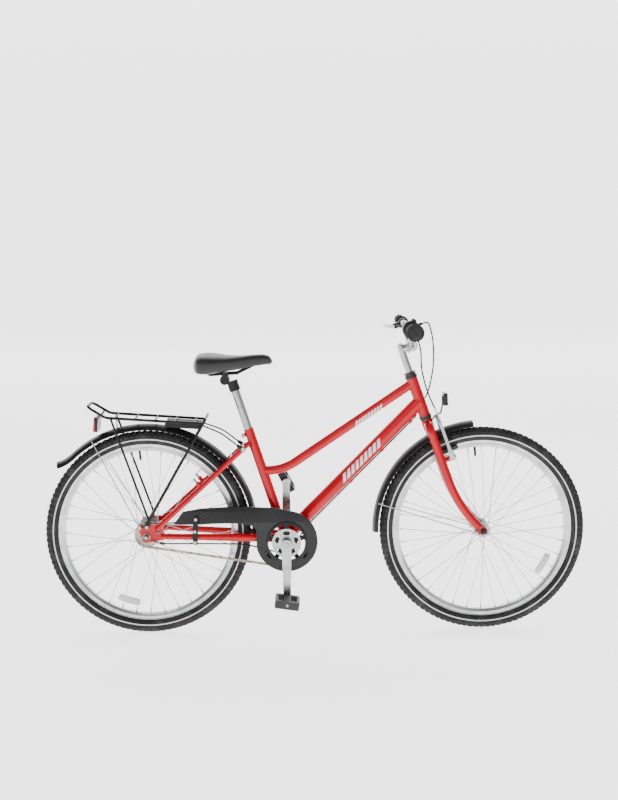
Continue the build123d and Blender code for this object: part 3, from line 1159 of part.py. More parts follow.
with BuildPart() as chain_guard:
    with BuildSketch(side_plane(CASE_DEPTH - CASE_FACE)) as outline:
        with Locations((CASE_CENTRE.X, CASE_CENTRE.Z)):
            Circle(CASE_ROUND)
        with BuildLine():
            upper = [(86.0, 38.0), (114.0, 76.0), (184.0, 86.0), (294.0, 90.0), (380.0, 85.0), (439.0, 74.0)]
            lower = [(439.0, -20.0), (352.0, 0.0), (345.0, 20.0), (330.0, 31.0), (296.0, 38.0)]
            corners = [rear(x, up) for x, up in upper + lower]
            Polyline(*[(corner.X, corner.Z) for corner in corners], close=True)
        make_face()
    extrude(outline.sketch, amount=CASE_DEPTH)
    inset = offset(outline.sketch, amount=-CASE_WALL, mode=Mode.PRIVATE)
    extrude(inset, amount=CASE_DEPTH - CASE_WALL, mode=Mode.SUBTRACT)
    across(CASE_CENTRE, CASE_OPENING, -90.0, -40.0, mode=Mode.SUBTRACT)
    across(CASE_CENTRE, CASE_OPENING + 4.0, -CASE_FACE - 2.0, -CASE_FACE, CASE_OPENING)
    with BuildSketch(side_plane(-40.0)) as slots:
        for middle in (215.0, 325.0):
            with Locations(Location((CASE_CENTRE.X, CASE_CENTRE.Z), middle)):
                with Locations((CASE_OPENING + 10.0, 0)):
                    SlotOverall(30.0, 7.0, rotation=90.0)
    extrude(slots.sketch, amount=40.0, mode=Mode.SUBTRACT)

STRAP_X = 152.0
STRAP_BOLTS = (54.0, 15.0, -20.0)
STRAP_FACE = DROPOUT_OUT

with BuildPart() as guard_strap:
    hull_plate([(rear(STRAP_X + 3.0, STRAP_BOLTS[0]), 9.0), (rear(STRAP_X, STRAP_BOLTS[2]), 9.0)], -STRAP_FACE, 3.0)
    hull_plate([(rear(STRAP_X, STRAP_BOLTS[1]), 7.0), (rear(STRAP_X, STRAP_BOLTS[2]), 7.0)], -46.0, 3.0)
    for up in STRAP_BOLTS[1:]:
        across(rear(STRAP_X, up), 2.5, -STRAP_FACE - 5.0, -44.0)
        across(rear(STRAP_X, up), 5.5, -STRAP_FACE - 7.0, -STRAP_FACE - 3.0)
    across(rear(STRAP_X + 3.0, STRAP_BOLTS[0]), 5.0, -STRAP_FACE, -CASE_FACE)
    across(rear(STRAP_X + 3.0, STRAP_BOLTS[0]), 5.5, -STRAP_FACE - 7.0, -STRAP_FACE - 3.0)
    add(chain_stays.part, mode=Mode.SUBTRACT)
save_group("chain_guard", chain_guard, guard_strap)

# ================================================================ gear cable
UNDER = DOWN_TUBE_RADIUS + CABLE_RADIUS + 0.6
TUBE_TOP = DOWN_END - DOWN_ALONG * 58.0 + DOWN_UNDER * UNDER
TUBE_FOOT = DOWN_START + DOWN_ALONG * 62.0 + DOWN_UNDER * UNDER
GEAR_ROUTE = [TUBE_TOP, TUBE_FOOT, BRACKET + Vector(12.0, -16.0, -SHELL_RADIUS - 22.0),
              BRACKET + Vector(-58.0, -34.0, -SHELL_RADIUS - 6.0), rear(315.0, -33.0, -46.0),
              rear(200.0, -27.0, -60.0), rear(56.0, -23.5, -66.5)]

with BuildPart() as gear_cable:
    radii = [90.0, 70.0, 110.0, 300.0, 500.0]
    bent_tube(GEAR_ROUTE, radii, CABLE_RADIUS)
save(gear_cable, "gear_cable")

with BuildPart() as cable_adjuster:
    tip = GEAR_ROUTE[-1]
    rod(tip, rear(40.0, -21.5, -68.0), 4.0)
    rod(rear(40.0, -21.5, -68.0), rear(14.0, -8.0, -DROPOUT_OUT - WASHER - NUT_LENGTH - 3.0), 1.5)
    across(REAR_AXLE, 8.0, -AXLE_END - 1.0, -DROPOUT_OUT - WASHER - NUT_LENGTH, AXLE_RADIUS)
    add(dropouts.part, mode=Mode.SUBTRACT)
    add(rear_axle_nuts.part, mode=Mode.SUBTRACT)
    add(rear_eye_bolts.part, mode=Mode.SUBTRACT)
    add(gear_cable.part, mode=Mode.SUBTRACT)

with BuildPart() as cable_clips:
    for along in (62.0, 190.0, 330.0):
        middle = DOWN_END - DOWN_ALONG * (along + 10.0) + DOWN_UNDER * UNDER
        rod(middle, middle + DOWN_ALONG * 12.0, CABLE_RADIUS + 2.0)
    rod(DOWN_START, DOWN_END, DOWN_TUBE_RADIUS, mode=Mode.SUBTRACT)
    add(gear_cable.part, mode=Mode.SUBTRACT)
save_group("cable_fittings", cable_clips, cable_adjuster)

EXIT = steer(BAR_S + 4.0, BAR_OUT + 36.0, -138.0)
EXIT_RUN = (EXIT - steer(BAR_S + 6.0, BAR_OUT + 18.0, -148.0)).normalized()
LOOP_ROUTE = [EXIT + EXIT_RUN * 0.3, EXIT + EXIT_RUN * 26.0, steer(BAR_S - 46.0, BAR_OUT + 59.0, -92.0),
              steer(BAR_S - 100.0, BAR_OUT + 48.0, -62.0), steer(BAR_S - 152.0, BAR_OUT + 30.0, -38.0),
              steer(BAR_S - 202.0, BAR_OUT + 4.0, -16.0), steer(HEAD_LOW + 58.0, 27.0, 6.0),
              steer(HEAD_LOW + 36.0, 6.0, 28.5), steer(HEAD_LOW + 21.0, -14.0, 29.5),
              TUBE_TOP + DOWN_ALONG * 15.0, TUBE_TOP + DOWN_ALONG * 0.3]

with BuildPart() as gear_cable_loop:
    radii = cable_radii(LOOP_ROUTE)
    print("gear cable loop arcs", [round(radius) for radius in radii])
    bent_tube(LOOP_ROUTE, radii, CABLE_RADIUS)
save(gear_cable_loop, "gear_cable_loop")

# ================================================================ saddle
POST_TOP = 530.0
POST_LOW = SEAT_TUBE_LENGTH - 120.0
SADDLE_REAR = 152.0
RAIL_SIDE = 22.0
RAIL_RADIUS = 3.5
CLAMP_SPOT = rear(251.0, 486.0)

with BuildPart() as seatpost:
    rod(seat(POST_LOW), seat(POST_TOP), SEATPOST_RADIUS, SEATPOST_RADIUS - 2.4)
save(seatpost, "seatpost")

with BuildPart() as saddle_clamp:
    across(CLAMP_SPOT, 15.0, -26.0, 26.0)
    rod(seat(POST_TOP - 24.0), seat(POST_TOP + 8.0), SEATPOST_RADIUS + 4.0)
    across(CLAMP_SPOT + Vector(2.0, 0, 15.0), 9.0, -30.0, 30.0)
    rod(seat(POST_TOP - 60.0), seat(POST_TOP), SEATPOST_RADIUS, mode=Mode.SUBTRACT)
    for hand in (-1, 1):
        rail_a = rear(214.0, 503.0, hand * RAIL_SIDE)
        rail_b = rear(290.0, 507.0, hand * RAIL_SIDE)
        rod(rail_a, rail_b, RAIL_RADIUS, mode=Mode.SUBTRACT)

with BuildPart() as saddle_rails:
    for hand in (-1, 1):
        route = [rear(176.0, 530.0, hand * 34.0), rear(204.0, 502.5, hand * RAIL_SIDE),
                 rear(214.0, 503.0, hand * RAIL_SIDE), rear(290.0, 507.0, hand * RAIL_SIDE),
                 rear(372.0, 545.0, hand * 8.0)]
        rod(route[2], route[3], RAIL_RADIUS)
        rod(route[3], route[4], RAIL_RADIUS)
        rod(route[2], route[1], RAIL_RADIUS)
        rod(route[1], route[0], RAIL_RADIUS)
        for corner in route[1:4]:
            with Locations(corner):
                Sphere(RAIL_RADIUS)
save_group("saddle_rails", saddle_rails, saddle_clamp)


def saddle_side(points, half_width):
    """A slab across the saddle from a closed outline seen from the side."""
    with BuildSketch(side_plane(half_width)) as profile:
        with BuildLine():
            spots = [rear(x, up) for x, up in points]
            Polyline(*[(spot.X, spot.Z) for spot in spots], close=True)
        make_face()
    extrude(profile.sketch, amount=2 * half_width)


def saddle_top_view(grow, low, high):
    """A column with the saddle's outline seen from above."""
    nose = SADDLE_REAR + SADDLE_LENGTH
    half = SADDLE_WIDTH / 2 + grow
    with BuildSketch(Plane(origin=rear(0, low))) as outline:
        with BuildLine():
            spots = [(SADDLE_REAR - grow, 42.0 + grow), (SADDLE_REAR + 26.0, half), (SADDLE_REAR + 60.0, half - 3.0),
                     (SADDLE_REAR + 120.0, 44.0 + grow), (SADDLE_REAR + 170.0, 25.0 + grow),
                     (nose - 20.0, 19.0 + grow), (nose + grow, 8.0 + grow)]
            spots = spots + [(x, -y) for x, y in reversed(spots)]
            Polyline(*spots, close=True)
        make_face()
    return extrude(outline.sketch, amount=high - low, mode=Mode.PRIVATE)


with BuildPart() as saddle_base:
    shell_line = [(160.0, 533.0), (205.0, 539.0), (284.0, 535.0), (340.0, 537.0), (380.0, 535.5), (394.0, 531.0),
                  (394.0, 534.0), (385.0, 539.6), (340.0, 541.6), (284.0, 539.6), (205.0, 543.6), (160.0, 537.6)]
    saddle_side(shell_line, 120.0)
    add(saddle_top_view(-7.4, 400.0, 650.0), mode=Mode.INTERSECT)
    add(saddle_rails.part, mode=Mode.SUBTRACT)
save(saddle_base, "saddle_base")

SADDLE_TOP_LINE = [(152.0, 507.0), (156.0, 552.0), (172.0, 568.0), (205.0, 571.0), (284.0, 560.0), (330.0, 564.0),
                   (368.0, 566.0), (392.0, 555.0), (403.0, 538.0)]

with BuildPart() as saddle_pad:
    lower = [(400.0, 533.0), (340.0, 530.0), (320.0, 526.0), (280.0, 516.0), (238.0, 513.0), (205.0, 505.0),
             (178.0, 510.0)]
    saddle_side(SADDLE_TOP_LINE + lower, 120.0)
    add(saddle_top_view(0.0, 400.0, 650.0), mode=Mode.INTERSECT)
    cavity_low = [(158.0, 500.0), (158.0, 538.0), (205.0, 544.0), (284.0, 540.0), (340.0, 542.0), (385.0, 540.0),
                  (396.0, 530.0), (396.0, 500.0)]
    with BuildPart(mode=Mode.PRIVATE) as cavity:
        saddle_side(cavity_low, 120.0)
        add(saddle_top_view(-7.0, 400.0, 650.0), mode=Mode.INTERSECT)
    add(cavity.part, mode=Mode.SUBTRACT)
    add(saddle_rails.part, mode=Mode.SUBTRACT)
    add(saddle_base.part, mode=Mode.SUBTRACT)
save(saddle_pad, "saddle_pad")
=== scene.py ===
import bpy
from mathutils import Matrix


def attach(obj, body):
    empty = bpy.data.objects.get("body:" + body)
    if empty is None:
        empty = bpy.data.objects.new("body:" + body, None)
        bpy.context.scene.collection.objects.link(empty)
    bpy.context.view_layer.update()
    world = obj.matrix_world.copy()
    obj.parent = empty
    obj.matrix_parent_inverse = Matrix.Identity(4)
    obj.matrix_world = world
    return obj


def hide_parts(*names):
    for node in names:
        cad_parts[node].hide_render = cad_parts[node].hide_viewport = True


bl_info = {
    "name": "Step-through City Bicycle",
    "version": (1, 0, 0),
    "blender": (4, 5, 0),
    "location": "3D Viewport > Sidebar > Bicycle",
    "description": "Builds the tyres, guards, saddle, chain and finishes of a step-through city bicycle",
    "category": "Object",
}

from math import asin, atan2, cos, pi, radians, sin, sqrt

import bmesh
import bpy
import numpy as np
from mathutils import Matrix, Vector

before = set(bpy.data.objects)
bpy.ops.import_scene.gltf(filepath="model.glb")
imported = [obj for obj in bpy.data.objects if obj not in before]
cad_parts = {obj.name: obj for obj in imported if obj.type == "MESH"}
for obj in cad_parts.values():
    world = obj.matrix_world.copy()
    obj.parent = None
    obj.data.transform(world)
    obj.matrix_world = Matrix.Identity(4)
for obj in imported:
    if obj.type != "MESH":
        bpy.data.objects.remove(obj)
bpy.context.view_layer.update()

# ---------------------------------------------------------------- where things are, in metres
REAR_AXLE = np.array([-0.531, 0.0, 0.327])
FRONT_AXLE = np.array([0.531, 0.0, 0.327])
BRACKET = np.array([-0.092, 0.0, 0.297])
HEAD_LEAN = radians(19.3)
HEAD_UP = np.array([-sin(HEAD_LEAN), 0.0, cos(HEAD_LEAN)])
HEAD_OUT = np.array([cos(HEAD_LEAN), 0.0, sin(HEAD_LEAN)])
FORK_RAKE = 0.0505
CRANK_LENGTH = 0.168
CHAIN_LINE = -0.050
CHAIN_PITCH = 0.0127
RING_RADIUS = CHAIN_PITCH / (2 * sin(pi / 38))
SPROCKET_RADIUS = CHAIN_PITCH / (2 * sin(pi / 18))
GUARD_RADIUS = 0.3496
BAR_CENTRE = FRONT_AXLE + HEAD_UP * 0.691 + HEAD_OUT * (0.0406 - FORK_RAKE)
WHEELS = (("front", FRONT_AXLE, "front_wheel"), ("rear", REAR_AXLE, "rear_wheel"))


# ---------------------------------------------------------------- sizes and colours a user may change
class TyreSettings(bpy.types.PropertyGroup):
    """Sizes of both tyres."""

    knobs: bpy.props.IntProperty(name="Knobs", description="Rows of tread blocks round a tyre", default=108)
    knob_height: bpy.props.FloatProperty(
        name="Knob Height", description="How far a tread block stands out", default=0.0026, subtype="DISTANCE")
    stripe_radius: bpy.props.FloatProperty(
        name="Stripe Radius", description="Radius of the reflecting line", default=0.3005, subtype="DISTANCE")
    stripe_width: bpy.props.FloatProperty(
        name="Stripe Width", description="Width of the reflecting line", default=0.0034, subtype="DISTANCE")
    rubber: bpy.props.FloatVectorProperty(
        name="Rubber", description="Colour of the rubber", default=(0.026, 0.025, 0.026), subtype="COLOR")


class PaintSettings(bpy.types.PropertyGroup):
    """Colours of the frame, guards and bright parts."""

    enamel: bpy.props.FloatVectorProperty(
        name="Enamel", description="Colour of the frame", default=(0.5, 0.0, 0.009), subtype="COLOR")
    plastic: bpy.props.FloatVectorProperty(
        name="Plastic", description="Colour of the guards", default=(0.008, 0.008, 0.009), subtype="COLOR")
    alloy: bpy.props.FloatVectorProperty(
        name="Alloy", description="Colour of polished aluminium", default=(0.6, 0.61, 0.62), subtype="COLOR")
    steel: bpy.props.FloatVectorProperty(
        name="Steel", description="Colour of plated steel", default=(0.46, 0.46, 0.45), subtype="COLOR")


class SaddleSettings(bpy.types.PropertyGroup):
    """Shape of the saddle."""

    crown: bpy.props.FloatProperty(
        name="Crown", description="How square the saddle's section is", default=0.62, min=0.3, max=1.2)
    cover: bpy.props.FloatVectorProperty(
        name="Cover", description="Colour of the cover", default=(0.006, 0.006, 0.0065), subtype="COLOR")


class StageSettings(bpy.types.PropertyGroup):
    """Floor, light and camera."""

    lens: bpy.props.FloatProperty(name="Lens", description="Focal length in millimetres", default=60.77)
    floor: bpy.props.FloatVectorProperty(
        name="Floor", description="Colour of the floor", default=(0.9, 0.9, 0.9), subtype="COLOR")
    glow: bpy.props.FloatProperty(name="Floor Glow", description="How much the sweep lights itself", default=2.3)
    surround: bpy.props.FloatProperty(name="Surround", description="Strength of the room's light", default=0.22)
    key_power: bpy.props.FloatProperty(name="Key Light", description="Power of the key light", default=32.0)


# ---------------------------------------------------------------- shader maths
class Value:
    """A shader socket that Python expressions can use: each operator adds one Math node."""

    def __init__(self, finish, socket):
        self.finish = finish
        self.socket = socket

    def maths(self, operation, *others):
        """The result of one Math node on this value and the others."""
        inputs = {i: v for i, v in enumerate((self,) + others)}
        return self.finish.node("ShaderNodeMath", {"operation": operation}, inputs)

    def __add__(self, other):
        return self.maths("ADD", other)

    __radd__ = __add__

    def __mul__(self, other):
        return self.maths("MULTIPLY", other)

    __rmul__ = __mul__

    def __sub__(self, other):
        return self.maths("SUBTRACT", other)

    def __rsub__(self, other):
        return self.finish.node("ShaderNodeMath", {"operation": "SUBTRACT"}, {0: other, 1: self})

    def __truediv__(self, other):
        return self.maths("DIVIDE", other)

    def __pow__(self, other):
        return self.maths("POWER", other)

    def __abs__(self):
        return self.maths("ABSOLUTE")

    def above(self, edge):
        """1 where the value is over the edge, 0 elsewhere."""
        return self.maths("GREATER_THAN", edge)

    def below(self, edge):
        """1 where the value is under the edge, 0 elsewhere."""
        return self.maths("LESS_THAN", edge)

    def smooth(self, low, high):
        """A ramp from 0 at low to 1 at high, eased at both ends."""
        return self.finish.node("ShaderNodeMapRange", {"interpolation_type": "SMOOTHSTEP"},
                                {"Value": self, "From Min": low, "From Max": high})


class Finish:
    """A material being made: one principled shader, and nodes added by kind."""

    def __init__(self, name, **constants):
        self.material = bpy.data.materials.new(name)
        self.material.use_nodes = True
        self.tree = self.material.node_tree
        self.shader = self.tree.nodes["Principled BSDF"]
        for socket, value in constants.items():
            self.set(socket.replace("_", " ").title().replace("Ior", "IOR"), value)

    def set(self, socket, value):
        """A constant or a value into a socket of the principled shader."""
        self.put(self.shader.inputs[socket], value)

    def put(self, target, value):
        """A constant or a value into any socket."""
        if isinstance(value, Value):
            self.tree.links.new(value.socket, target)
        elif hasattr(value, "__len__") and len(value) == 3 and target.type == "RGBA":
            target.default_value = (*value, 1.0)
        else:
            target.default_value = value

    def node(self, kind, settings=None, inputs=None, out=0):
        """Adds a node of a kind, with its settings first and then its sockets, and gives one output."""
        new = self.tree.nodes.new(kind)
        for key, value in (settings or {}).items():
            setattr(new, key, value)
        for key, value in (inputs or {}).items():
            self.put(new.inputs[key], value)
        return Value(self, new.outputs[out])

    def place(self):
        """The point being shaded, in the object's own space."""
        return self.node("ShaderNodeTexCoord", out="Object")

    def axes(self):
        """The x, y and z of the point being shaded."""
        split = self.node("ShaderNodeSeparateXYZ", inputs={0: self.place()})
        return [Value(self, split.socket.node.outputs[i]) for i in range(3)]

    def noise(self, scale, detail=4.0, stretch=None):
        """Cloudy noise of 0 to 1, stretched along the axes if asked."""
        place = self.place()
        if stretch:
            place = self.node("ShaderNodeVectorMath", {"operation": "MULTIPLY"}, {0: place, 1: stretch})
        return self.node("ShaderNodeTexNoise", inputs={"Vector": place, "Scale": scale, "Detail": detail})

    def mix(self, factor, first, second):
        """The first colour where the factor is 0, the second where it is 1."""
        new = self.tree.nodes.new("ShaderNodeMix")
        new.data_type = "RGBA"
        self.put(new.inputs[0], factor)
        self.put(new.inputs[6], first)
        self.put(new.inputs[7], second)
        return Value(self, new.outputs[2])

    def bump(self, height, distance, strength=1.0):
        """Relief from a height, into the shader's normal."""
        relief = self.node("ShaderNodeBump", inputs={"Height": height, "Distance": distance, "Strength": strength})
        self.set("Normal", relief)

    def along(self, start, direction):
        """Distance from a plane through start, square to a direction."""
        offset = self.node("ShaderNodeVectorMath", {"operation": "SUBTRACT"}, {0: self.place(), 1: tuple(start)})
        return self.node("ShaderNodeVectorMath", {"operation": "DOT_PRODUCT"},
                         {0: offset, 1: tuple(direction)}, out="Value")


def shade(colour, factor):
    """A colour made lighter or darker."""
    return tuple(min(1.0, c * factor) for c in colour)


def enamel_finish(name, colour, decal=None):
    """Glossy enamel under a clear coat, with faint orange peel and fine scuffs."""
    f = Finish(name, specular_ior_level=0.1, coat_weight=0.45, coat_roughness=0.05)
    cloud = f.noise(9.0, 3.0)
    base = f.mix(cloud.smooth(0.3, 0.75), shade(colour, 0.9), shade(colour, 1.1))
    scuff = f.noise(260.0, 6.0, (1.0, 1.0, 0.25)).smooth(0.66, 0.74)
    wear = f.noise(18.0, 2.0).smooth(0.56, 0.7)
    f.set("Roughness", 0.26 + scuff * wear * 0.35)
    if decal:
        start, run, rise, spans, low, high = decal
        length = f.along(start, run)
        height = f.along(start, rise)
        slanted = length - height * 0.9
        mark = None
        for begin, end in spans:
            span = slanted.above(begin) * slanted.below(end)
            mark = span if mark is None else mark + span
        mark = mark * height.above(low) * height.below(high)
        base = f.mix(mark, base, (0.82, 0.82, 0.83))
    f.set("Base Color", base)
    f.bump(f.noise(900.0, 1.0), 0.00004, 0.35)
    return f.material


def plastic_finish(name, colour, roughness=0.36, grain=1600.0, relief=0.00006):
    """Moulded plastic with fine grain and dulled patches."""
    f = Finish(name, specular_ior_level=0.3)
    cloud = f.noise(14.0, 4.0)
    f.set("Base Color", f.mix(cloud.smooth(0.35, 0.8), colour, shade(colour, 1.7)))
    f.set("Roughness", roughness + cloud.smooth(0.3, 0.8) * 0.16)
    f.bump(f.noise(grain, 2.0), relief, 0.5)
    return f.material


def black_paint_finish(name):
    """Semi-gloss black paint on steel rod, rubbed through in specks."""
    f = Finish(name, specular_ior_level=0.2, coat_weight=0.05, coat_roughness=0.15)
    chip = f.noise(330.0, 5.0).smooth(0.7, 0.74) * f.noise(22.0, 2.0).smooth(0.55, 0.62)
    cloud = f.noise(30.0, 3.0).smooth(0.3, 0.8)
    f.set("Base Color", f.mix(chip, f.mix(cloud, (0.006, 0.006, 0.0065), (0.014, 0.014, 0.015)), (0.32, 0.31, 0.3)))
    f.set("Roughness", 0.4 + cloud * 0.14)
    f.bump(f.noise(700.0, 2.0), 0.00005, 0.4)
    return f.material


def alloy_finish(name, colour, roughness=0.2, stretch=(1.0, 1.0, 1.0), grey=0.0):
    """Polished or satin metal with hairline marks and cloudy tarnish."""
    f = Finish(name, metallic=1.0)
    cloud = f.noise(24.0, 5.0).smooth(0.35, 0.75)
    hair = f.noise(420.0, 3.0, stretch)
    f.set("Base Color", f.mix(cloud, shade(colour, 1.0 - grey), shade(colour, 0.72 - grey)))
    f.set("Roughness", roughness + hair.smooth(0.35, 0.75) * 0.12 + cloud * 0.08)
    f.bump(hair, 0.00003, 0.35)
    return f.material


def rubber_finish(name, colour, axle=None, stripe=None):
    """Dull rubber with dust in it; a tyre also has its reflecting line and fine side rings."""
    f = Finish(name, specular_ior_level=0.18)
    dust = f.noise(34.0, 6.0)
    base = f.mix(dust.smooth(0.42, 0.85), colour, shade(colour, 2.6))
    fine = f.noise(1300.0, 2.0)
    if stripe:
        x, y, z = f.axes()
        radius = ((x - float(axle[0])) ** 2.0 + (z - float(axle[2])) ** 2.0) ** 0.5
        off = abs(radius - stripe[0])
        line = (1.0 - off.smooth(stripe[1] * 0.44, stripe[1] * 0.56)) * abs(y).above(0.012)
        base = f.mix(line, base, (0.78, 0.79, 0.8))
        rings = (radius * 3200.0).maths("SINE") * radius.below(0.312)
        f.set("Roughness", 0.72 - line * 0.35 + dust * 0.12)
        f.bump(fine + rings * 0.5, 0.00012, 0.5)
    else:
        f.set("Roughness", 0.66 + dust * 0.14)
        f.bump(fine, 0.00009, 0.6)
    f.set("Base Color", base)
    return f.material


def cover_finish(name, colour):
    """A stretched vinyl cover with pebbled grain, glossier in cloudy patches."""
    f = Finish(name, specular_ior_level=0.5)
    cell = f.node("ShaderNodeTexVoronoi", {"feature": "DISTANCE_TO_EDGE"},
                  {"Vector": f.place(), "Scale": 620.0})
    cloud = f.noise(16.0, 4.0)
    f.set("Base Color", f.mix(cloud.smooth(0.35, 0.8), colour, shade(colour, 1.8)))
    f.set("Roughness", 0.36 + cloud.smooth(0.3, 0.8) * 0.16)
    f.bump(cell.smooth(0.0, 0.25) + f.noise(1500.0, 2.0) * 0.3, 0.00014, 0.6)
    return f.material


def chain_finish(name):
    """Oiled steel with brown film between the links."""
    f = Finish(name, metallic=1.0)
    grime = f.noise(160.0, 5.0)
    f.set("Base Color", f.mix(grime.smooth(0.35, 0.7), (0.46, 0.42, 0.36), (0.13, 0.09, 0.06)))
    f.set("Roughness", 0.3 + grime * 0.35)
    f.bump(grime, 0.00006, 0.5)
    return f.material


def lens_finish(name, colour, glow):
    """A reflector's lens with rows of small prisms under a clear face, and a faint painted glow: it emits its own
    colour in place of the light its prisms throw back.
    """
    f = Finish(name, coat_weight=1.0, coat_roughness=0.05)
    cell = f.node("ShaderNodeTexVoronoi", {"feature": "DISTANCE_TO_EDGE"}, {"Vector": f.place(), "Scale": 380.0})
    f.set("Base Color", f.mix(cell.smooth(0.0, 0.2), shade(colour, 0.45), colour))
    f.set("Roughness", 0.18 + cell.smooth(0.0, 0.2) * 0.12)
    # painted glow: the lens emits its own colour at the glow strength, standing in for light thrown back by its prisms
    f.shader.inputs["Emission Color"].default_value = (*colour, 1.0)
    f.shader.inputs["Emission Strength"].default_value = glow
    f.bump(cell, 0.0004, 0.6)
    return f.material


def two_part_finish(name, first, second, split):
    """Metal or plastic in one zone of a node and another in the rest; each is (colour, metallic, roughness)."""
    f = Finish(name)
    mask = split(f)
    cloud = f.noise(40.0, 4.0).smooth(0.3, 0.8)
    near = f.mix(cloud, first[0], shade(first[0], 0.75))
    far = f.mix(cloud, second[0], shade(second[0], 1.4))
    f.set("Base Color", f.mix(mask, near, far))
    f.set("Metallic", first[1] + mask * (second[1] - first[1]))
    f.set("Roughness", first[2] + mask * (second[2] - first[2]) + cloud * 0.08)
    f.bump(f.noise(900.0, 2.0), 0.00004, 0.5)
    return f.material


# ---------------------------------------------------------------- surfaces
def grid_faces(rows, columns, wrap_rows=False, wrap_columns=False):
    """Quads of a grid of points, joined round in either direction."""
    r = np.arange(rows if wrap_rows else rows - 1)
    c = np.arange(columns if wrap_columns else columns - 1)
    r, c = np.meshgrid(r, c, indexing="ij")
    r2, c2 = (r + 1) % rows, (c + 1) % columns
    return np.stack([r * columns + c, r2 * columns + c, r2 * columns + c2, r * columns + c2], -1).reshape(-1, 4)


def put_mesh(name, points, faces, material, body, slot, sharp=35.0):
    """A mesh from arrays of points and faces, with its normals turned outwards, riding on a body."""
    mesh = bpy.data.meshes.new(name)
    mesh.from_pydata(np.asarray(points, float).reshape(-1, 3).tolist(), [], [list(map(int, f)) for f in faces])
    mesh.update()
    bpy.ops.object.select_all(action="DESELECT")
    piece = bpy.data.objects.new(name, mesh)
    bpy.context.scene.collection.objects.link(piece)
    settle(piece, material, sharp)
    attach(piece, body)
    return piece


def settle(piece, material, sharp=35.0):
    """Merges doubles, turns faces outwards, smooths them below an angle and sets the material."""
    work = bmesh.new()
    work.from_mesh(piece.data)
    bmesh.ops.remove_doubles(work, verts=work.verts, dist=1e-7)
    bmesh.ops.recalc_face_normals(work, faces=work.faces)
    work.to_mesh(piece.data)
    work.free()
    piece.data.shade_smooth()
    piece.data.set_sharp_from_angle(angle=radians(sharp))
    piece.data.materials.clear()
    piece.data.materials.append(material)


def surface(points, wrap_rows=False, wrap_columns=False, cap_rows=False):
    """Points and faces of a parametric grid of shape (rows, columns, 3), with its end rows capped if asked."""
    rows, columns = points.shape[:2]
    faces = [list(f) for f in grid_faces(rows, columns, wrap_rows, wrap_columns)]
    if cap_rows:
        faces += [list(range(columns)), [(rows - 1) * columns + i for i in range(columns)]]
    return points.reshape(-1, 3), faces


def join(parts):
    """Several (points, faces) sets as one."""
    points, faces, base = [], [], 0
    for p, f in parts:
        points.append(np.asarray(p, float).reshape(-1, 3))
        faces += [[i + base for i in face] for face in f]
        base += len(points[-1])
    return np.concatenate(points), faces


def turned(profile, centre, segments):
    """A closed profile of (radius, side) turned about an axle: centre + radius (cos, 0, sin) + side across."""
    profile = np.asarray(profile, float)
    angle = np.linspace(0.0, 2 * pi, segments, endpoint=False)[:, None]
    radius, side = profile[None, :, 0], profile[None, :, 1]
    points = np.stack([centre[0] + radius * np.cos(angle), centre[1] + side + 0 * angle,
                       centre[2] + radius * np.sin(angle)], -1)
    return surface(points, wrap_rows=True, wrap_columns=True)


def rod_between(start, end, radius, sides=12):
    """A round bar: start + share (end - start) + radius (cos u + sin v), with both ends capped."""
    start, end = np.asarray(start, float), np.asarray(end, float)
    run = (end - start) / np.linalg.norm(end - start)
    u = np.cross(run, [0.0, 1.0, 0.0] if abs(run[1]) < 0.9 else [1.0, 0.0, 0.0])
    u = u / np.linalg.norm(u)
    v = np.cross(run, u)
    a = np.linspace(0, 2 * pi, sides, endpoint=False)[None, :, None]
    share = np.array([0.0, 1.0])[:, None, None]
    points = start + share * (end - start) + radius * (np.cos(a) * u + np.sin(a) * v)
    return surface(points, wrap_columns=True, cap_rows=True)


def smooth_line(spots, count, closed=False):
    """A curve through spots, by cubic blending of each spot with its neighbours, at even shares."""
    spots = np.asarray(spots, float)
    n = len(spots)
    t = np.linspace(0, n if closed else n - 1, count, endpoint=not closed)
    i = np.floor(t).astype(int)
    if not closed:
        i = np.minimum(i, n - 2)
    f = (t - i)[:, None]
    pick = (lambda k: spots[(i + k) % n]) if closed else (lambda k: spots[np.clip(i + k, 0, n - 1)])
    a, b, c, d = pick(-1), pick(0), pick(1), pick(2)
    return 0.5 * (2 * b + (c - a) * f + (2 * a - 5 * b + 4 * c - d) * f ** 2 + (3 * b - a - 3 * c + d) * f ** 3)


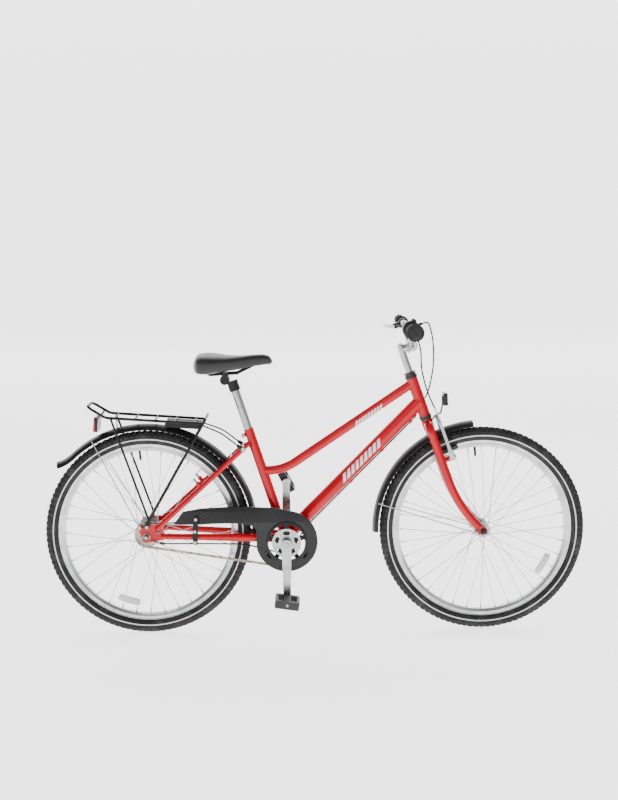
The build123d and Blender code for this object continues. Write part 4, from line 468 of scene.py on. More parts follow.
# ---------------------------------------------------------------- the pieces
class BICYCLE_OT_tyres(bpy.types.Operator):
    """Both tyres: a bowed casing with staggered tread blocks."""

    bl_idname = "bicycle.tyres"
    bl_label = "Tyres"

    def execute(self, context):
        s = context.scene.bicycle_tyres
        for name, axle, body in WHEELS:
            points, faces = self.casing(axle, s.knobs, s.knob_height)
            rubber = rubber_finish(f"{name}_tyre_rubber", tuple(s.rubber), axle, (s.stripe_radius, s.stripe_width))
            piece = put_mesh(f"{name}_tyre_tread", points, faces, rubber, body, "tyre", 30.0)
            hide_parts(f"{name}_tyre")
        return {"FINISHED"}

    @staticmethod
    def casing(axle, knobs, knob_height):
        """Section angle a runs bead to bead: side = 21.6 sin a, radius = 303.4 + 20.8 cos a, in millimetres,
        and blocks lift it where the tread pattern is 1; an inner wall closes the section."""
        around, across = knobs * 10, 56
        turn = np.arange(around)[:, None] / 10.0
        a = np.linspace(-radians(152.0), radians(152.0), across)[None, :]
        side = np.sign(np.sin(a)) * np.abs(np.sin(a)) ** 0.92
        radius = 0.3034 + 0.0208 * np.cos(a)
        slope = np.degrees(np.abs(a))
        phase = lambda shift: (turn + shift) % 1.0
        block = lambda shift, share: (phase(shift) < share).astype(float)
        middle = (slope < 15) * block(0.0, 0.55)
        second = ((slope > 22) & (slope < 40)) * block(0.5 + 0.15 * np.sign(a), 0.6)
        shoulder = ((slope > 47) & (slope < 74)) * block(0.1 * np.sign(a), 0.62)
        lug = ((slope >= 74) & (slope < 86)) * block(0.1 * np.sign(a), 0.34) * 0.6
        lift = knob_height * np.maximum(np.maximum(middle, second), np.maximum(shoulder, lug))
        r = radius + lift * np.cos(a) * 0.98
        y = 0.0212 * side + lift * np.sin(a) * 0.8
        inner = np.linspace(radians(146.0), -radians(146.0), 12)[None, :]
        r2 = 0.3034 + 0.0170 * np.cos(inner) + 0 * turn
        y2 = 0.0172 * np.sin(inner) + 0 * turn
        r, y = np.concatenate([r, r2], 1), np.concatenate([y + 0 * turn, y2], 1)
        angle = 2 * pi * turn / knobs
        points = np.stack([axle[0] + r * np.cos(angle), y, axle[2] + r * np.sin(angle)], -1)
        return surface(points, wrap_rows=True, wrap_columns=True)


class BICYCLE_OT_rims(bpy.types.Operator):
    """Both rims, with their brake tracks, and a nipple at each spoke."""

    bl_idname = "bicycle.rims"
    bl_label = "Rims and Nipples"

    def execute(self, context):
        p = context.scene.bicycle_paint
        for name, axle, body in WHEELS:
            alloy = alloy_finish(f"{name}_rim_alloy", tuple(p.alloy), 0.24)
            edge = [(285.4, 12.4), (285.4, 10.8), (279.0, 10.4), (276.0, 9.6), (274.0, 6.0), (273.2, 0.0)]
            outer = [(263.4, 0.0), (263.5, 5.6), (264.6, 8.2), (268.0, 10.6), (273.0, 12.1), (274.5, 11.8),
                     (275.2, 12.4), (284.0, 12.4), (285.0, 12.9)]
            right = np.array(edge + [(r, -s) for r, s in edge[::-1][1:]])
            wall = np.array([(r, -s) for r, s in outer[::-1]] + outer[1:])
            profile = np.concatenate([right, wall]) * 0.001
            points, faces = turned(profile, axle, 216)
            rim = put_mesh(f"{name}_rim_hoop", points, faces, alloy, body, "alloy", 28.0)
            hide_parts(f"{name}_rim")
            brass = alloy_finish(f"{name}_nipple_metal", tuple(p.steel), 0.22)
            set_of = []
            for index in range(36):
                a = radians(index * 10.0)
                out = np.array([cos(a), 0.0, sin(a)])
                lean = np.array([0.0, 0.0018 if index % 2 else -0.0018, 0.0])
                set_of.append(rod_between(axle + out * 0.2515 + lean * 2.6, axle + out * 0.2645 + lean, 0.0019, 8))
            nipples = put_mesh(f"{name}_nipples", *join(set_of), brass, body, "spoke_steel", 40.0)
        return {"FINISHED"}


class BICYCLE_OT_spoke_reflectors(bpy.types.Operator):
    """Clear wheel reflectors clipped between spokes: a bowed plate with rounded corners."""

    bl_idname = "bicycle.spoke_reflectors"
    bl_label = "Spoke Reflectors"

    def execute(self, context):
        # the clear lens gets a painted glow of strength 0.05
        lens = lens_finish("clear_lens", (0.78, 0.78, 0.76), 0.05)
        spots = (("rear", REAR_AXLE, "rear_wheel", -107.0), ("front", FRONT_AXLE, "front_wheel", -31.0))
        for name, axle, body, angle in spots:
            t, u = np.meshgrid(np.linspace(0, 2 * pi, 40, endpoint=False), np.linspace(0, 1, 7), indexing="ij")
            long = np.sign(np.cos(t)) * np.abs(np.cos(t)) ** 0.35 * 0.036
            tall = np.sign(np.sin(t)) * np.abs(np.sin(t)) ** 0.35 * 0.0105
            shrink = 1 - 0.16 * np.abs(2 * u - 1) ** 6
            a = radians(angle) + long * shrink / 0.232
            r = 0.232 + tall * shrink
            y = (u - 0.5) * 0.009
            points = np.stack([axle[0] + r * np.cos(a), y, axle[2] + r * np.sin(a)], -1)
            points = points.transpose(1, 0, 2)
            put_mesh(f"{name}_spoke_reflector", *surface(points, wrap_columns=True, cap_rows=True), lens, body,
                     "spoke_steel", 30.0)
        return {"FINISHED"}


def guard_surface(path, outward, half, depth, wall):
    """A mudguard: at each station the section is side = half sin b, height = -depth (1 - cos b) / (1 - cos b_end),
    with an inner skin one wall below."""
    b_end = radians(62.0)
    b = np.linspace(-b_end, b_end, 33)
    side = half * np.sin(b) / sin(b_end)
    drop = -depth * (1 - np.cos(b)) / (1 - cos(b_end))
    rib = 0.0009 * np.exp(-(side / 0.0035) ** 2) + 0.0006 * np.exp(-((np.abs(side) - half * 0.72) / 0.0022) ** 2)
    lip = np.array([0.0, 0.0011, 0.0, -0.0011])
    outer = np.stack([side, drop + rib - 0.0009], -1)
    inner = np.stack([side[::-1] * (1 - wall / half), drop[::-1] - wall - 0.0009], -1)
    section = np.concatenate([outer, inner])
    points = path[:, None, :] + section[None, :, 1:2] * outward[:, None, :]
    points = points + section[None, :, 0:1] * np.array([0.0, 1.0, 0.0])
    return surface(points, wrap_columns=True, cap_rows=True)


class BICYCLE_OT_mudguards(bpy.types.Operator):
    """Both mudguards, the rear one with its flared tail."""

    bl_idname = "bicycle.mudguards"
    bl_label = "Mudguards"

    def execute(self, context):
        black = plastic_finish("guard_plastic", tuple(context.scene.bicycle_paint.plastic), 0.3, 1100.0)
        a = np.radians(np.linspace(-1.5, 133.0, 150))
        out = np.stack([np.cos(a), 0 * a, np.sin(a)], -1)
        path = REAR_AXLE + GUARD_RADIUS * out
        turn = np.radians(np.linspace(0, 28.0, 30))[1:]
        end = radians(133.0)
        centre = REAR_AXLE + (GUARD_RADIUS + 0.110) * np.array([cos(end), 0, sin(end)])
        back = end + pi - turn
        tail = centre + 0.110 * np.stack([np.cos(back), 0 * back, np.sin(back)], -1)
        tail_out = -np.stack([np.cos(back), 0 * back, np.sin(back)], -1)
        points, faces = guard_surface(np.concatenate([path, tail]), np.concatenate([out, tail_out]),
                                      0.029, 0.016, 0.0016)
        piece = put_mesh("rear_guard_shell", points, faces, black, "frame", "black_plastic", 40.0)
        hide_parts("rear_mudguard")
        a = np.radians(np.linspace(95.0, 181.0, 110))
        out = np.stack([np.cos(a), 0 * a, np.sin(a)], -1)
        shell = guard_surface(FRONT_AXLE + GUARD_RADIUS * out, out, 0.029, 0.016, 0.0016)
        foot = FRONT_AXLE + HEAD_UP * 0.3445 - HEAD_OUT * FORK_RAKE
        stud = rod_between(foot, FRONT_AXLE + HEAD_UP * 0.358 - HEAD_OUT * FORK_RAKE, 0.006, 16)
        piece = put_mesh("front_guard_shell", *join([shell, stud]), black, "steering", "black_plastic", 40.0)
        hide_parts("front_mudguard")
        return {"FINISHED"}


class BICYCLE_OT_saddle(bpy.types.Operator):
    """The saddle: a moulded padded shell."""

    bl_idname = "bicycle.saddle"
    bl_label = "Saddle"

    def execute(self, context):
        s = context.scene.bicycle_saddle
        cover = cover_finish("saddle_vinyl", tuple(s.cover))
        piece = put_mesh("saddle_cover", *self.shell(s.crown), cover, "saddle", "saddle_cover", 60.0)
        smooth = piece.modifiers.new("Smooth", "SUBSURF")
        smooth.levels = smooth.render_levels = 1
        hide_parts("saddle_pad")
        return {"FINISHED"}

    @staticmethod
    def lines(x):
        """Half width, top height and skirt height of the saddle at distances from its rear end, 0 to 1."""
        spots = np.array([0.0, 0.04, 0.1, 0.2, 0.32, 0.45, 0.6, 0.75, 0.88, 0.96, 1.0])
        half = np.array([50, 70, 83, 87.5, 76, 55, 35, 24.5, 21, 18, 12.0]) * 0.001
        top = np.array([553, 563, 568, 569, 566.5, 562.5, 561.5, 564, 564.5, 559, 549.0]) * 0.001 + 0.327
        low = np.array([517, 509, 506.5, 506.5, 511.5, 515.5, 519.5, 527, 531.5, 534, 536.0]) * 0.001 + 0.327
        curves = smooth_line(np.stack([spots, half, top, low], -1), 400)
        order = np.maximum.accumulate(curves[:, 0])
        return [np.interp(x, order, curves[:, k]) for k in (1, 2, 3)]

    @classmethod
    def shell(cls, crown):
        """Round each station by angle a: side = half |cos a|^crown, height = skirt + rise |sin a|^0.8 on top and a
        shallow bowl below; the ends close on a point by (1 - (1 - share)^2)^0.5."""
        t = np.linspace(0, 1, 74)
        x = 0.5 - 0.5 * np.cos(pi * t)
        x = 0.55 * x + 0.45 * t
        half, top, low = cls.lines(x)
        end = np.sqrt(np.clip(1 - (1 - np.clip(x / 0.055, 0, 1)) ** 2, 0, 1))
        tip = np.sqrt(np.clip(1 - (1 - np.clip((1 - x) / 0.05, 0, 1)) ** 2, 0, 1))
        close = np.clip(end * tip, 0.02, 1)
        a = np.linspace(0, 2 * pi, 72, endpoint=False)[None, :]
        c, q = np.cos(a), np.sin(a)
        half, top, low, close = (v[:, None] for v in (half, top, low, close))
        side = np.sign(c) * np.abs(c) ** crown * half * (0.5 + 0.5 * close)
        rise = (top - low)
        middle = low + 0.45 * rise
        crest = np.where(q >= 0, np.abs(q) ** 0.62 * 0.55 * rise, 0.0)
        skirt = np.where(q < 0, -np.abs(q) ** 0.34 * 0.45 * rise, 0.0) * close ** -0.6
        tuck = np.where(q < 0, 1 - 0.1 * np.abs(q), 1.0)
        z = middle + (crest + skirt) * close
        x = x[:, None]
        groove = np.exp(-(side / 0.010) ** 2) * np.exp(-((x - 0.42) / 0.3) ** 2) * (q > 0) * 0.0022
        points = np.stack([REAR_AXLE[0] + 0.1535 + 0.248 * x + 0 * a, side * tuck, z - groove], -1)
        return surface(points, wrap_columns=True, cap_rows=True)


class BICYCLE_OT_chain(bpy.types.Operator):
    """The roller chain: plates, pins and rollers at every pitch of its run."""

    bl_idname = "bicycle.chain"
    bl_label = "Chain"

    def execute(self, context):
        piece = put_mesh("chain_links", *self.links(), chain_finish("oiled_chain"), "frame", "chain_steel", 35.0)
        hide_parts("chain")
        return {"FINISHED"}

    @staticmethod
    def run():
        """Pins of the chain: two arcs at the pitch radii joined by their outer tangents, stepped evenly."""
        gap = BRACKET - REAR_AXLE
        distance = float(np.hypot(gap[0], gap[2]))
        tilt = atan2(gap[2], gap[0])
        lean = asin((RING_RADIUS - SPROCKET_RADIUS) / distance)
        straight = sqrt(distance ** 2 - (RING_RADIUS - SPROCKET_RADIUS) ** 2)
        lengths = np.array([straight, RING_RADIUS * (pi + 2 * lean), straight, SPROCKET_RADIUS * (pi - 2 * lean)])
        marks = np.concatenate([[0], np.cumsum(lengths)])
        total = marks[-1]
        n = int(round(total / CHAIN_PITCH / 2)) * 2
        s = np.arange(n) * total / n
        up = tilt + pi / 2 + lean
        down = tilt - pi / 2 - lean
        spot = lambda c, r, ang: np.stack([c[0] + r * np.cos(ang), c[2] + r * np.sin(ang)], -1)
        a0, a1 = spot(REAR_AXLE, SPROCKET_RADIUS, up), spot(BRACKET, RING_RADIUS, up)
        b0, b1 = spot(BRACKET, RING_RADIUS, down), spot(REAR_AXLE, SPROCKET_RADIUS, down)
        f = ((s - marks[0]) / straight)[:, None]
        g = ((s - marks[2]) / straight)[:, None]
        ring = spot(BRACKET, RING_RADIUS, up - (s - marks[1]) / RING_RADIUS)
        cog = spot(REAR_AXLE, SPROCKET_RADIUS, down - (s - marks[3]) / SPROCKET_RADIUS)
        where = np.digitize(s, marks[1:4])[:, None]
        return np.where(where == 0, a0 + f * (a1 - a0),
                        np.where(where == 1, ring, np.where(where == 2, b0 + g * (b1 - b0), cog)))

    @classmethod
    def links(cls):
        """A plate's outline is two circles with a waist; plates, rollers and pins are carried to every pitch."""
        pins = cls.run()
        nxt = np.roll(pins, -1, 0)
        run = nxt - pins
        pitch = np.linalg.norm(run, axis=1)
        run = run / pitch[:, None]
        a = np.linspace(0, 2 * pi, 18, endpoint=False)
        lobe = 0.5 + 0.5 * np.tanh(6 * np.cos(a))
        u = lobe * float(pitch.mean()) + 0.0041 * np.cos(a)
        v = 0.0041 * np.sin(a) * (1 - 0.26 * np.exp(-(np.cos(a) / 0.3) ** 2))
        parts = []
        for start, low, high in ((0, -0.0041, -0.0031), (0, 0.0031, 0.0041), (1, -0.0029, -0.0020),
                                 (1, 0.0020, 0.0029)):
            base, along = pins[start::2], run[start::2]
            square = np.stack([-along[:, 1], along[:, 0]], -1)
            flat = base[:, None, :] + u[None, :, None] * along[:, None, :] + v[None, :, None] * square[:, None, :]
            for k in range(len(base)):
                ring = np.stack([np.stack([flat[k, :, 0], np.full(18, CHAIN_LINE + s), flat[k, :, 1]], -1)
                                 for s in (low, high)])
                parts.append(surface(ring, wrap_columns=True, cap_rows=True))
        for spot in pins:
            middle = np.array([spot[0], CHAIN_LINE, spot[1]])
            parts.append(rod_between(middle - [0, 0.0020, 0], middle + [0, 0.0020, 0], 0.0037, 10))
            parts.append(rod_between(middle - [0, 0.0047, 0], middle + [0, 0.0047, 0], 0.0017, 8))
        return join(parts)


class BICYCLE_OT_chain_guard(bpy.types.Operator):
    """The chain guard: a moulded plate with a rolled rim round its outline and round the crank opening."""

    bl_idname = "bicycle.chain_guard"
    bl_label = "Chain Guard"

    def execute(self, context):
        black = plastic_finish("chain_guard_plastic", tuple(context.scene.bicycle_paint.plastic), 0.26, 900.0)
        centre = BRACKET + np.array([0.001, 0.0, 0.008])
        outline = self.outline(centre)
        parts = [self.wall(outline)]
        plate = self.plate(centre, outline)
        put_mesh("chain_guard_rim", *join(parts), black, "frame", "black_plastic", 50.0)
        settle(plate, black, 40.0)
        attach(plate, "frame")
        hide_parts("chain_guard")
        lip = [(60.0, -64.2), (60.0, -66.2), (61.2, -66.9), (63.0, -66.5), (64.2, -64.8), (64.2, -62.4), (60.0, -62.4)]
        put_mesh("chain_guard_lip", *turned(np.array(lip) * 0.001, centre, 96), black, "frame", "black_plastic", 30.0)
        self.strap(context)
        return {"FINISHED"}

    @staticmethod
    def outline(centre):
        """Outer edge, anticlockwise from the left end: lower edge, the round front, and the upper edge."""
        arm_low = [(87, 38.5), (92, 37), (120, 35.5), (180, 36.5), (240, 38), (296, 37), (326, 31), (342, 18), (344.5, 2)]
        turn = np.radians(np.linspace(192, 440, 26))
        round_front = np.stack([440.0 + 96.5 * np.cos(turn), -22.0 + 96.5 * np.sin(turn)], -1)
        arm_high = [(430, 79), (400, 84.5), (373, 86.0), (294, 90.0), (184, 86.5), (150, 82), (117, 76.5), (112, 73),
                    (100, 57), (88.5, 42)]
        spots = np.concatenate([np.array(arm_low, float), round_front, np.array(arm_high, float)]) * 0.001
        line = smooth_line(spots, 420, closed=True)
        return np.stack([REAR_AXLE[0] + line[:, 0], REAR_AXLE[2] + line[:, 1]], -1)

    @staticmethod
    def wall(outline):
        """The turned-in side wall: the outline carried inboard, one wall thick, its outer edge rounded."""
        step = np.roll(outline, -1, 0) - np.roll(outline, 1, 0)
        step = step / np.linalg.norm(step, axis=1)[:, None]
        inward = np.stack([-step[:, 1], step[:, 0]], -1)
        section = np.array([(0.0022, -64.4), (0.0008, -64.2), (0.0, -62.6), (0.0, -54.8), (0.0018, -54.8),
                            (0.0019, -62.4)])
        flat = outline[:, None, :] + section[None, :, 0:1] * inward[:, None, :]
        side = np.broadcast_to(section[None, :, 1] * 0.001, flat.shape[:2])
        points = np.stack([flat[..., 0], side, flat[..., 1]], -1)
        return surface(points, wrap_rows=True, wrap_columns=True)

    @staticmethod
    def plate(centre, outline):
        """The face: the outline, the crank opening and two curved slots, filled and given a rounded edge."""
        curve = bpy.data.curves.new("chain_guard_plate", "CURVE")
        curve.dimensions = "2D"
        curve.fill_mode = "BOTH"
        curve.extrude = 0.0004
        curve.bevel_depth = 0.0006
        curve.bevel_resolution = 2
        turn = np.linspace(0, 2 * pi, 96, endpoint=False)
        opening = np.stack([centre[0] + 0.0612 * np.cos(turn), centre[2] + 0.0612 * np.sin(turn)], -1)
        loops = [outline, opening]
        for middle in (215.0, 325.0):
            t = np.linspace(0, 2 * pi, 40, endpoint=False)
            bend = radians(middle) + np.sign(np.cos(t)) * np.abs(np.cos(t)) ** 0.5 * 0.2
            r = 0.0735 + np.sign(np.sin(t)) * np.abs(np.sin(t)) ** 0.7 * 0.0036
            loops.append(np.stack([centre[0] + r * np.cos(bend), centre[2] + r * np.sin(bend)], -1))
        for loop in loops:
            spline = curve.splines.new("POLY")
            spline.points.add(len(loop) - 1)
            flat = np.concatenate([loop, np.zeros((len(loop), 1)), np.ones((len(loop), 1))], 1)
            spline.points.foreach_set("co", flat.ravel())
            spline.use_cyclic_u = True
        flat_piece = bpy.data.objects.new("flat_plate", curve)
        bpy.context.scene.collection.objects.link(flat_piece)
        bpy.context.view_layer.update()
        mesh = bpy.data.meshes.new_from_object(flat_piece.evaluated_get(bpy.context.evaluated_depsgraph_get()))
        bpy.data.objects.remove(flat_piece)
        mesh.transform(Matrix(((1, 0, 0, 0), (0, 0, -1, -0.0633), (0, 1, 0, 0), (0, 0, 0, 1))))
        piece = bpy.data.objects.new("chain_guard_plate", mesh)
        bpy.context.scene.collection.objects.link(piece)
        return piece

    @staticmethod
    def strap(context):
        """The strap that carries the guard on the chain stay, with its three bolts."""
        steel = black_paint_finish("strap_black")
        t = np.linspace(0, 2 * pi, 40, endpoint=False)
        tall = np.sign(np.sin(t)) * np.abs(np.sin(t)) ** 0.45
        wide = np.sign(np.cos(t)) * np.abs(np.cos(t)) ** 0.6
        plate = [np.stack([REAR_AXLE[0] + 0.1535 + 0.0085 * wide + 0.0012 * tall,
                           np.full(40, y), REAR_AXLE[2] + 0.017 + 0.045 * tall], -1) for y in (-0.0712, -0.0738)]
        back = [np.stack([REAR_AXLE[0] + 0.152 + 0.007 * wide, np.full(40, y),
                          REAR_AXLE[2] - 0.0025 + 0.0245 * tall], -1) for y in (-0.0432, -0.0458)]
        parts = [surface(np.array(plate), wrap_columns=True, cap_rows=True),
                 surface(np.array(back), wrap_columns=True, cap_rows=True)]
        put_mesh("guard_strap_plates", *join(parts), steel, "frame", "black_plastic", 40.0)
        bright = alloy_finish("strap_bolt_zinc", tuple(context.scene.bicycle_paint.steel), 0.3)
        bolts = []
        for up, x, inner in ((0.054, 0.155, -0.0645), (0.015, 0.152, -0.043), (-0.020, 0.152, -0.043)):
            spot = REAR_AXLE + np.array([x, 0.0, up])
            bolts.append(rod_between(spot + [0, -0.0735, 0], spot + [0, inner, 0], 0.0025, 10))
            bolts.append(rod_between(spot + [0, -0.0778, 0], spot + [0, -0.0735, 0], 0.0052, 6))
        put_mesh("guard_strap_bolts", *join(bolts), bright, "frame", "zinc_steel", 30.0)


class BICYCLE_OT_grips(bpy.types.Operator):
    """Ribbed grips and the twist grip."""

    bl_idname = "bicycle.grips"
    bl_label = "Grips"

    def execute(self, context):
        rubber = rubber_finish("grip_rubber", (0.02, 0.02, 0.021))
        left = self.sleeve(0.172, 0.301, 0.0165, 0.0200, 25, 0.0165)
        right = self.sleeve(-0.2226, -0.301, 0.0165, 0.0165, 15, 0.0262)
        piece = put_mesh("grip_sleeves", *join([left, right]), rubber, "steering", "rubber", 35.0)
        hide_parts("grips")
        piece = put_mesh("twist_sleeve", *self.twist(), rubber, "twist_grip", "rubber", 35.0)
        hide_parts("twist_grip")
        return {"FINISHED"}

    @staticmethod
    def sleeve(inner, outer, radius, flange, ribs, guard):
        """Radius = body - 0.9 mm (1 + cos 2 pi ribs s)^4 / 16, with a flange first and a hand guard disc last; the
        disc's face is ringed by inset steps."""
        s = np.linspace(0, 1, ribs * 8 + 1)
        wave = ((1 + np.cos(2 * pi * ribs * s)) / 2) ** 4
        body = radius - 0.0009 * wave
        body = np.where(s < 0.035, flange, body)
        body = np.where(s > 0.93, guard, body)
        share = np.array([0.96, 0.82, 0.8, 0.62, 0.6, 0.42, 0.4, 0.1])
        sunk = np.array([0.0, 0.0, 0.0006, 0.0006, 0.0, 0.0, 0.0006, 0.0006]) * np.sign(inner)
        body = np.concatenate([body, guard * share])
        a = np.linspace(0, 2 * pi, 40, endpoint=False)[None, :]
        y = np.concatenate([inner + (outer - inner) * s, outer - sunk])[:, None]
        points = np.stack([BAR_CENTRE[0] + body[:, None] * np.cos(a), y + 0 * a,
                           BAR_CENTRE[2] + body[:, None] * np.sin(a)], -1)
        return surface(points, wrap_columns=True, cap_rows=True)

    @staticmethod
    def twist():
        """Radius = 17.9 mm + 0.8 mm by ridges along the sleeve, eased at both ends, with an inner collar."""
        s = np.linspace(0, 1, 44)[:, None]
        a = np.linspace(0, 2 * pi, 144, endpoint=False)[None, :]
        ridge = (np.cos(24 * a) > 0) * ((s > 0.22) & (s < 0.95))
        radius = 0.0175 + 0.0009 * ridge
        radius = np.where(s < 0.16, 0.0215, radius)
        radius = radius * (1 - 0.05 * (s < 0.02)) * (1 - 0.04 * (s > 0.97))
        y = -0.166 - 0.056 * s
        points = np.stack([BAR_CENTRE[0] + radius * np.cos(a), y + 0 * a, BAR_CENTRE[2] + radius * np.sin(a)], -1)
        bore = 0.01116 + 0 * s[::-1]
        inner = np.stack([BAR_CENTRE[0] + bore * np.cos(a), y[::-1] + 0 * a, BAR_CENTRE[2] + bore * np.sin(a)], -1)
        return surface(np.concatenate([points, inner]), wrap_rows=True, wrap_columns=True)


class BICYCLE_OT_pedal_trim(bpy.types.Operator):
    """Amber reflectors and end caps of both pedals."""

    bl_idname = "bicycle.pedal_trim"
    bl_label = "Pedal Trim"

    def execute(self, context):
        # the amber lens gets a painted glow of strength 0.03
        amber = lens_finish("amber_lens", (0.75, 0.24, 0.02), 0.03)
        grey = plastic_finish("pedal_cap_plastic", (0.3, 0.3, 0.31), 0.4)
        for name, hand, tilt in (("right", -1, 8.5), ("left", 1, 62.0)):
            spot = BRACKET + np.array([0.0, 0.0, hand * CRANK_LENGTH])
            t = radians(-tilt)
            forward = np.array([cos(t), 0.0, sin(t)])
            up = np.array([-sin(t), 0.0, cos(t)])
            middle = spot + np.array([0.0, hand * 0.135, 0.0])
            plates = []
            for end in (-1, 1):
                a = np.linspace(0, 2 * pi, 28, endpoint=False)
                wide = np.sign(np.cos(a)) * np.abs(np.cos(a)) ** 0.4 * 0.025
                tall = np.sign(np.sin(a)) * np.abs(np.sin(a)) ** 0.4 * 0.0062
                rows = [middle + forward * end * (0.0355 + d) + wide[:, None] * k * np.array([0, 1.0, 0])
                        + tall[:, None] * k * up for d, k in ((0.0, 1.0), (0.0015, 1.0), (0.0022, 0.9))]
                plates.append(surface(np.array(rows), wrap_columns=True, cap_rows=True))
            put_mesh(f"{name}_pedal_lenses", *join(plates), amber, f"{name}_pedal", "black_plastic", 30.0)
            end = spot + np.array([0.0, hand * 0.1785, 0.0])
            out = np.array([0.0, hand * 1.0, 0.0])
            s = np.linspace(0, 1, 8)[:, None, None]
            a = np.linspace(0, 2 * pi, 28, endpoint=False)[None, :, None]
            r = 0.0118 * np.sqrt(1 - 0.93 * s ** 2)
            points = end - out * 0.0012 + out * 0.0018 * s + r * (np.cos(a) * forward + np.sin(a) * up)
            put_mesh(f"{name}_pedal_cap", *surface(points, wrap_columns=True, cap_rows=True), grey,
                     f"{name}_pedal", "black_plastic", 30.0)
        return {"FINISHED"}


class BICYCLE_OT_cad_finishes(bpy.types.Operator):
    """Finishes of the parts that keep their own shape: frame, rack, bar, cranks, hubs and fittings."""

    bl_idname = "bicycle.cad_finishes"
    bl_label = "Frame and Metal Finishes"

    def execute(self, context):
        p = context.scene.bicycle_paint
        red, alloy, steel = tuple(p.enamel), shade(tuple(p.alloy), 0.72), tuple(p.steel)
        top = (np.array([0.13, 0.0, 0.667]), np.array([0.833, 0.0, 0.553]), np.array([-0.553, 0.0, 0.833]))
        down = (np.array([0.075, 0.0, 0.479]), np.array([0.712, 0.0, 0.702]), np.array([-0.702, 0.0, 0.712]))
        top_marks = [(k * 0.0115, k * 0.0115 + 0.0072) for k in range(9)]
        down_marks = [(0.02 + k * 0.019, 0.02 + k * 0.019 + 0.0125) for k in range(9)]
        paint = enamel_finish("red_enamel", red)
        looks = {
            "head_tube": paint, "seat_tube": paint, "chain_stays": paint, "seat_stays": paint, "fork": paint,
            "top_tube": enamel_finish("red_enamel_top", red, (*top, top_marks, -0.005, 0.008)),
            "down_tube": enamel_finish("red_enamel_down", red, (*down, down_marks, -0.009, 0.012)),
            "headset_cups": plastic_finish("headset_black", (0.02, 0.02, 0.021), 0.25),
            "headset_races": plastic_finish("race_black", (0.02, 0.02, 0.021), 0.22),
            "frame_bearings": alloy_finish("bearing_steel", steel, 0.25),
            "rear_axle": alloy_finish("rear_nut_zinc", steel, 0.3),
            "front_axle": plastic_finish("front_nut_cap", (0.012, 0.012, 0.012), 0.3),
            "frame_bolts": alloy_finish("frame_bolt_zinc", steel, 0.3),
            "steering_bolts": alloy_finish("steering_bolt_zinc", steel, 0.3),
            "rear_guard_wires": alloy_finish("rear_wire_zinc", steel, 0.3),
            "front_guard_wires": alloy_finish("front_wire_zinc", steel, 0.3),
            "rack_deck": black_paint_finish("rack_black"),
            "rack_legs": black_paint_finish("rack_leg_black"),
            "saddle_rails": black_paint_finish("rail_black"),
            "saddle_base": plastic_finish("saddle_base_black", (0.03, 0.03, 0.032), 0.5),
            "shifter_housing": plastic_finish("shifter_black", (0.022, 0.022, 0.024), 0.34),
            "lever_bracket": plastic_finish("bracket_black", (0.02, 0.02, 0.021), 0.3),
            "brake_lever": alloy_finish("lever_alloy", alloy, 0.22),
            "gear_cable": plastic_finish("gear_casing", (0.004, 0.004, 0.004), 0.5),
            "brake_cable": plastic_finish("brake_casing", (0.004, 0.004, 0.004), 0.5),
            "gear_cable_loop": plastic_finish("loop_casing", (0.004, 0.004, 0.004), 0.5),
            "stem": alloy_finish("stem_alloy", alloy, 0.24),
            "handlebar": alloy_finish("bar_alloy", alloy, 0.18),
            "seatpost": alloy_finish("seatpost_alloy", alloy, 0.26, (1.0, 1.0, 0.05)),
            "right_crank": alloy_finish("right_crank_alloy", alloy, 0.2),
            "left_crank": alloy_finish("left_crank_alloy", alloy, 0.2),
            "spindle": alloy_finish("crank_bolt_steel", steel, 0.25),
            "pedal_axles": alloy_finish("pedal_axle_steel", steel, 0.25),
            "right_pedal": plastic_finish("right_pedal_plastic", (0.03, 0.03, 0.032), 0.45),
            "left_pedal": plastic_finish("left_pedal_plastic", (0.03, 0.03, 0.032), 0.45),
            "chainring": black_paint_finish("chainring_black"),
            "rear_sprocket": alloy_finish("sprocket_steel", (0.4, 0.37, 0.33), 0.35),
            "front_hub": alloy_finish("front_hub_alloy", alloy, 0.28),
            "rear_hub": alloy_finish("rear_hub_alloy", alloy, 0.28),
            "front_spokes": alloy_finish("front_spoke_steel", (0.5, 0.5, 0.5), 0.2),
            "rear_spokes": alloy_finish("rear_spoke_steel", (0.5, 0.5, 0.5), 0.2),
            "front_inner_tube": rubber_finish("front_tube_rubber", (0.02, 0.02, 0.02)),
            "rear_inner_tube": rubber_finish("rear_tube_rubber", (0.02, 0.02, 0.02)),
        }
        silver = (alloy, 1.0, 0.22)
        black = ((0.016, 0.016, 0.017), 0.0, 0.45)
        for name in ("right_brake_arm", "left_brake_arm"):
            looks[name] = two_part_finish(f"{name}_finish", silver, black,
                                          lambda f: abs(f.axes()[1]).below(0.0236))
        looks["rear_reflector"] = self.reflector("rear_reflector_finish", (0.55, 0.012, 0.012), -0.687, -1)
        looks["front_reflector"] = self.reflector("front_reflector_finish", (0.8, 0.8, 0.8), 0.4782, 1)
        looks["cable_fittings"] = two_part_finish(
            "fitting_finish", ((0.02, 0.02, 0.02), 0.0, 0.4), (red, 0.0, 0.3), lambda f: f.axes()[0].above(-0.06))
        for node, material in looks.items():
            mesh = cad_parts[node].data
            mesh.materials.clear()
            mesh.materials.append(material)
        return {"FINISHED"}

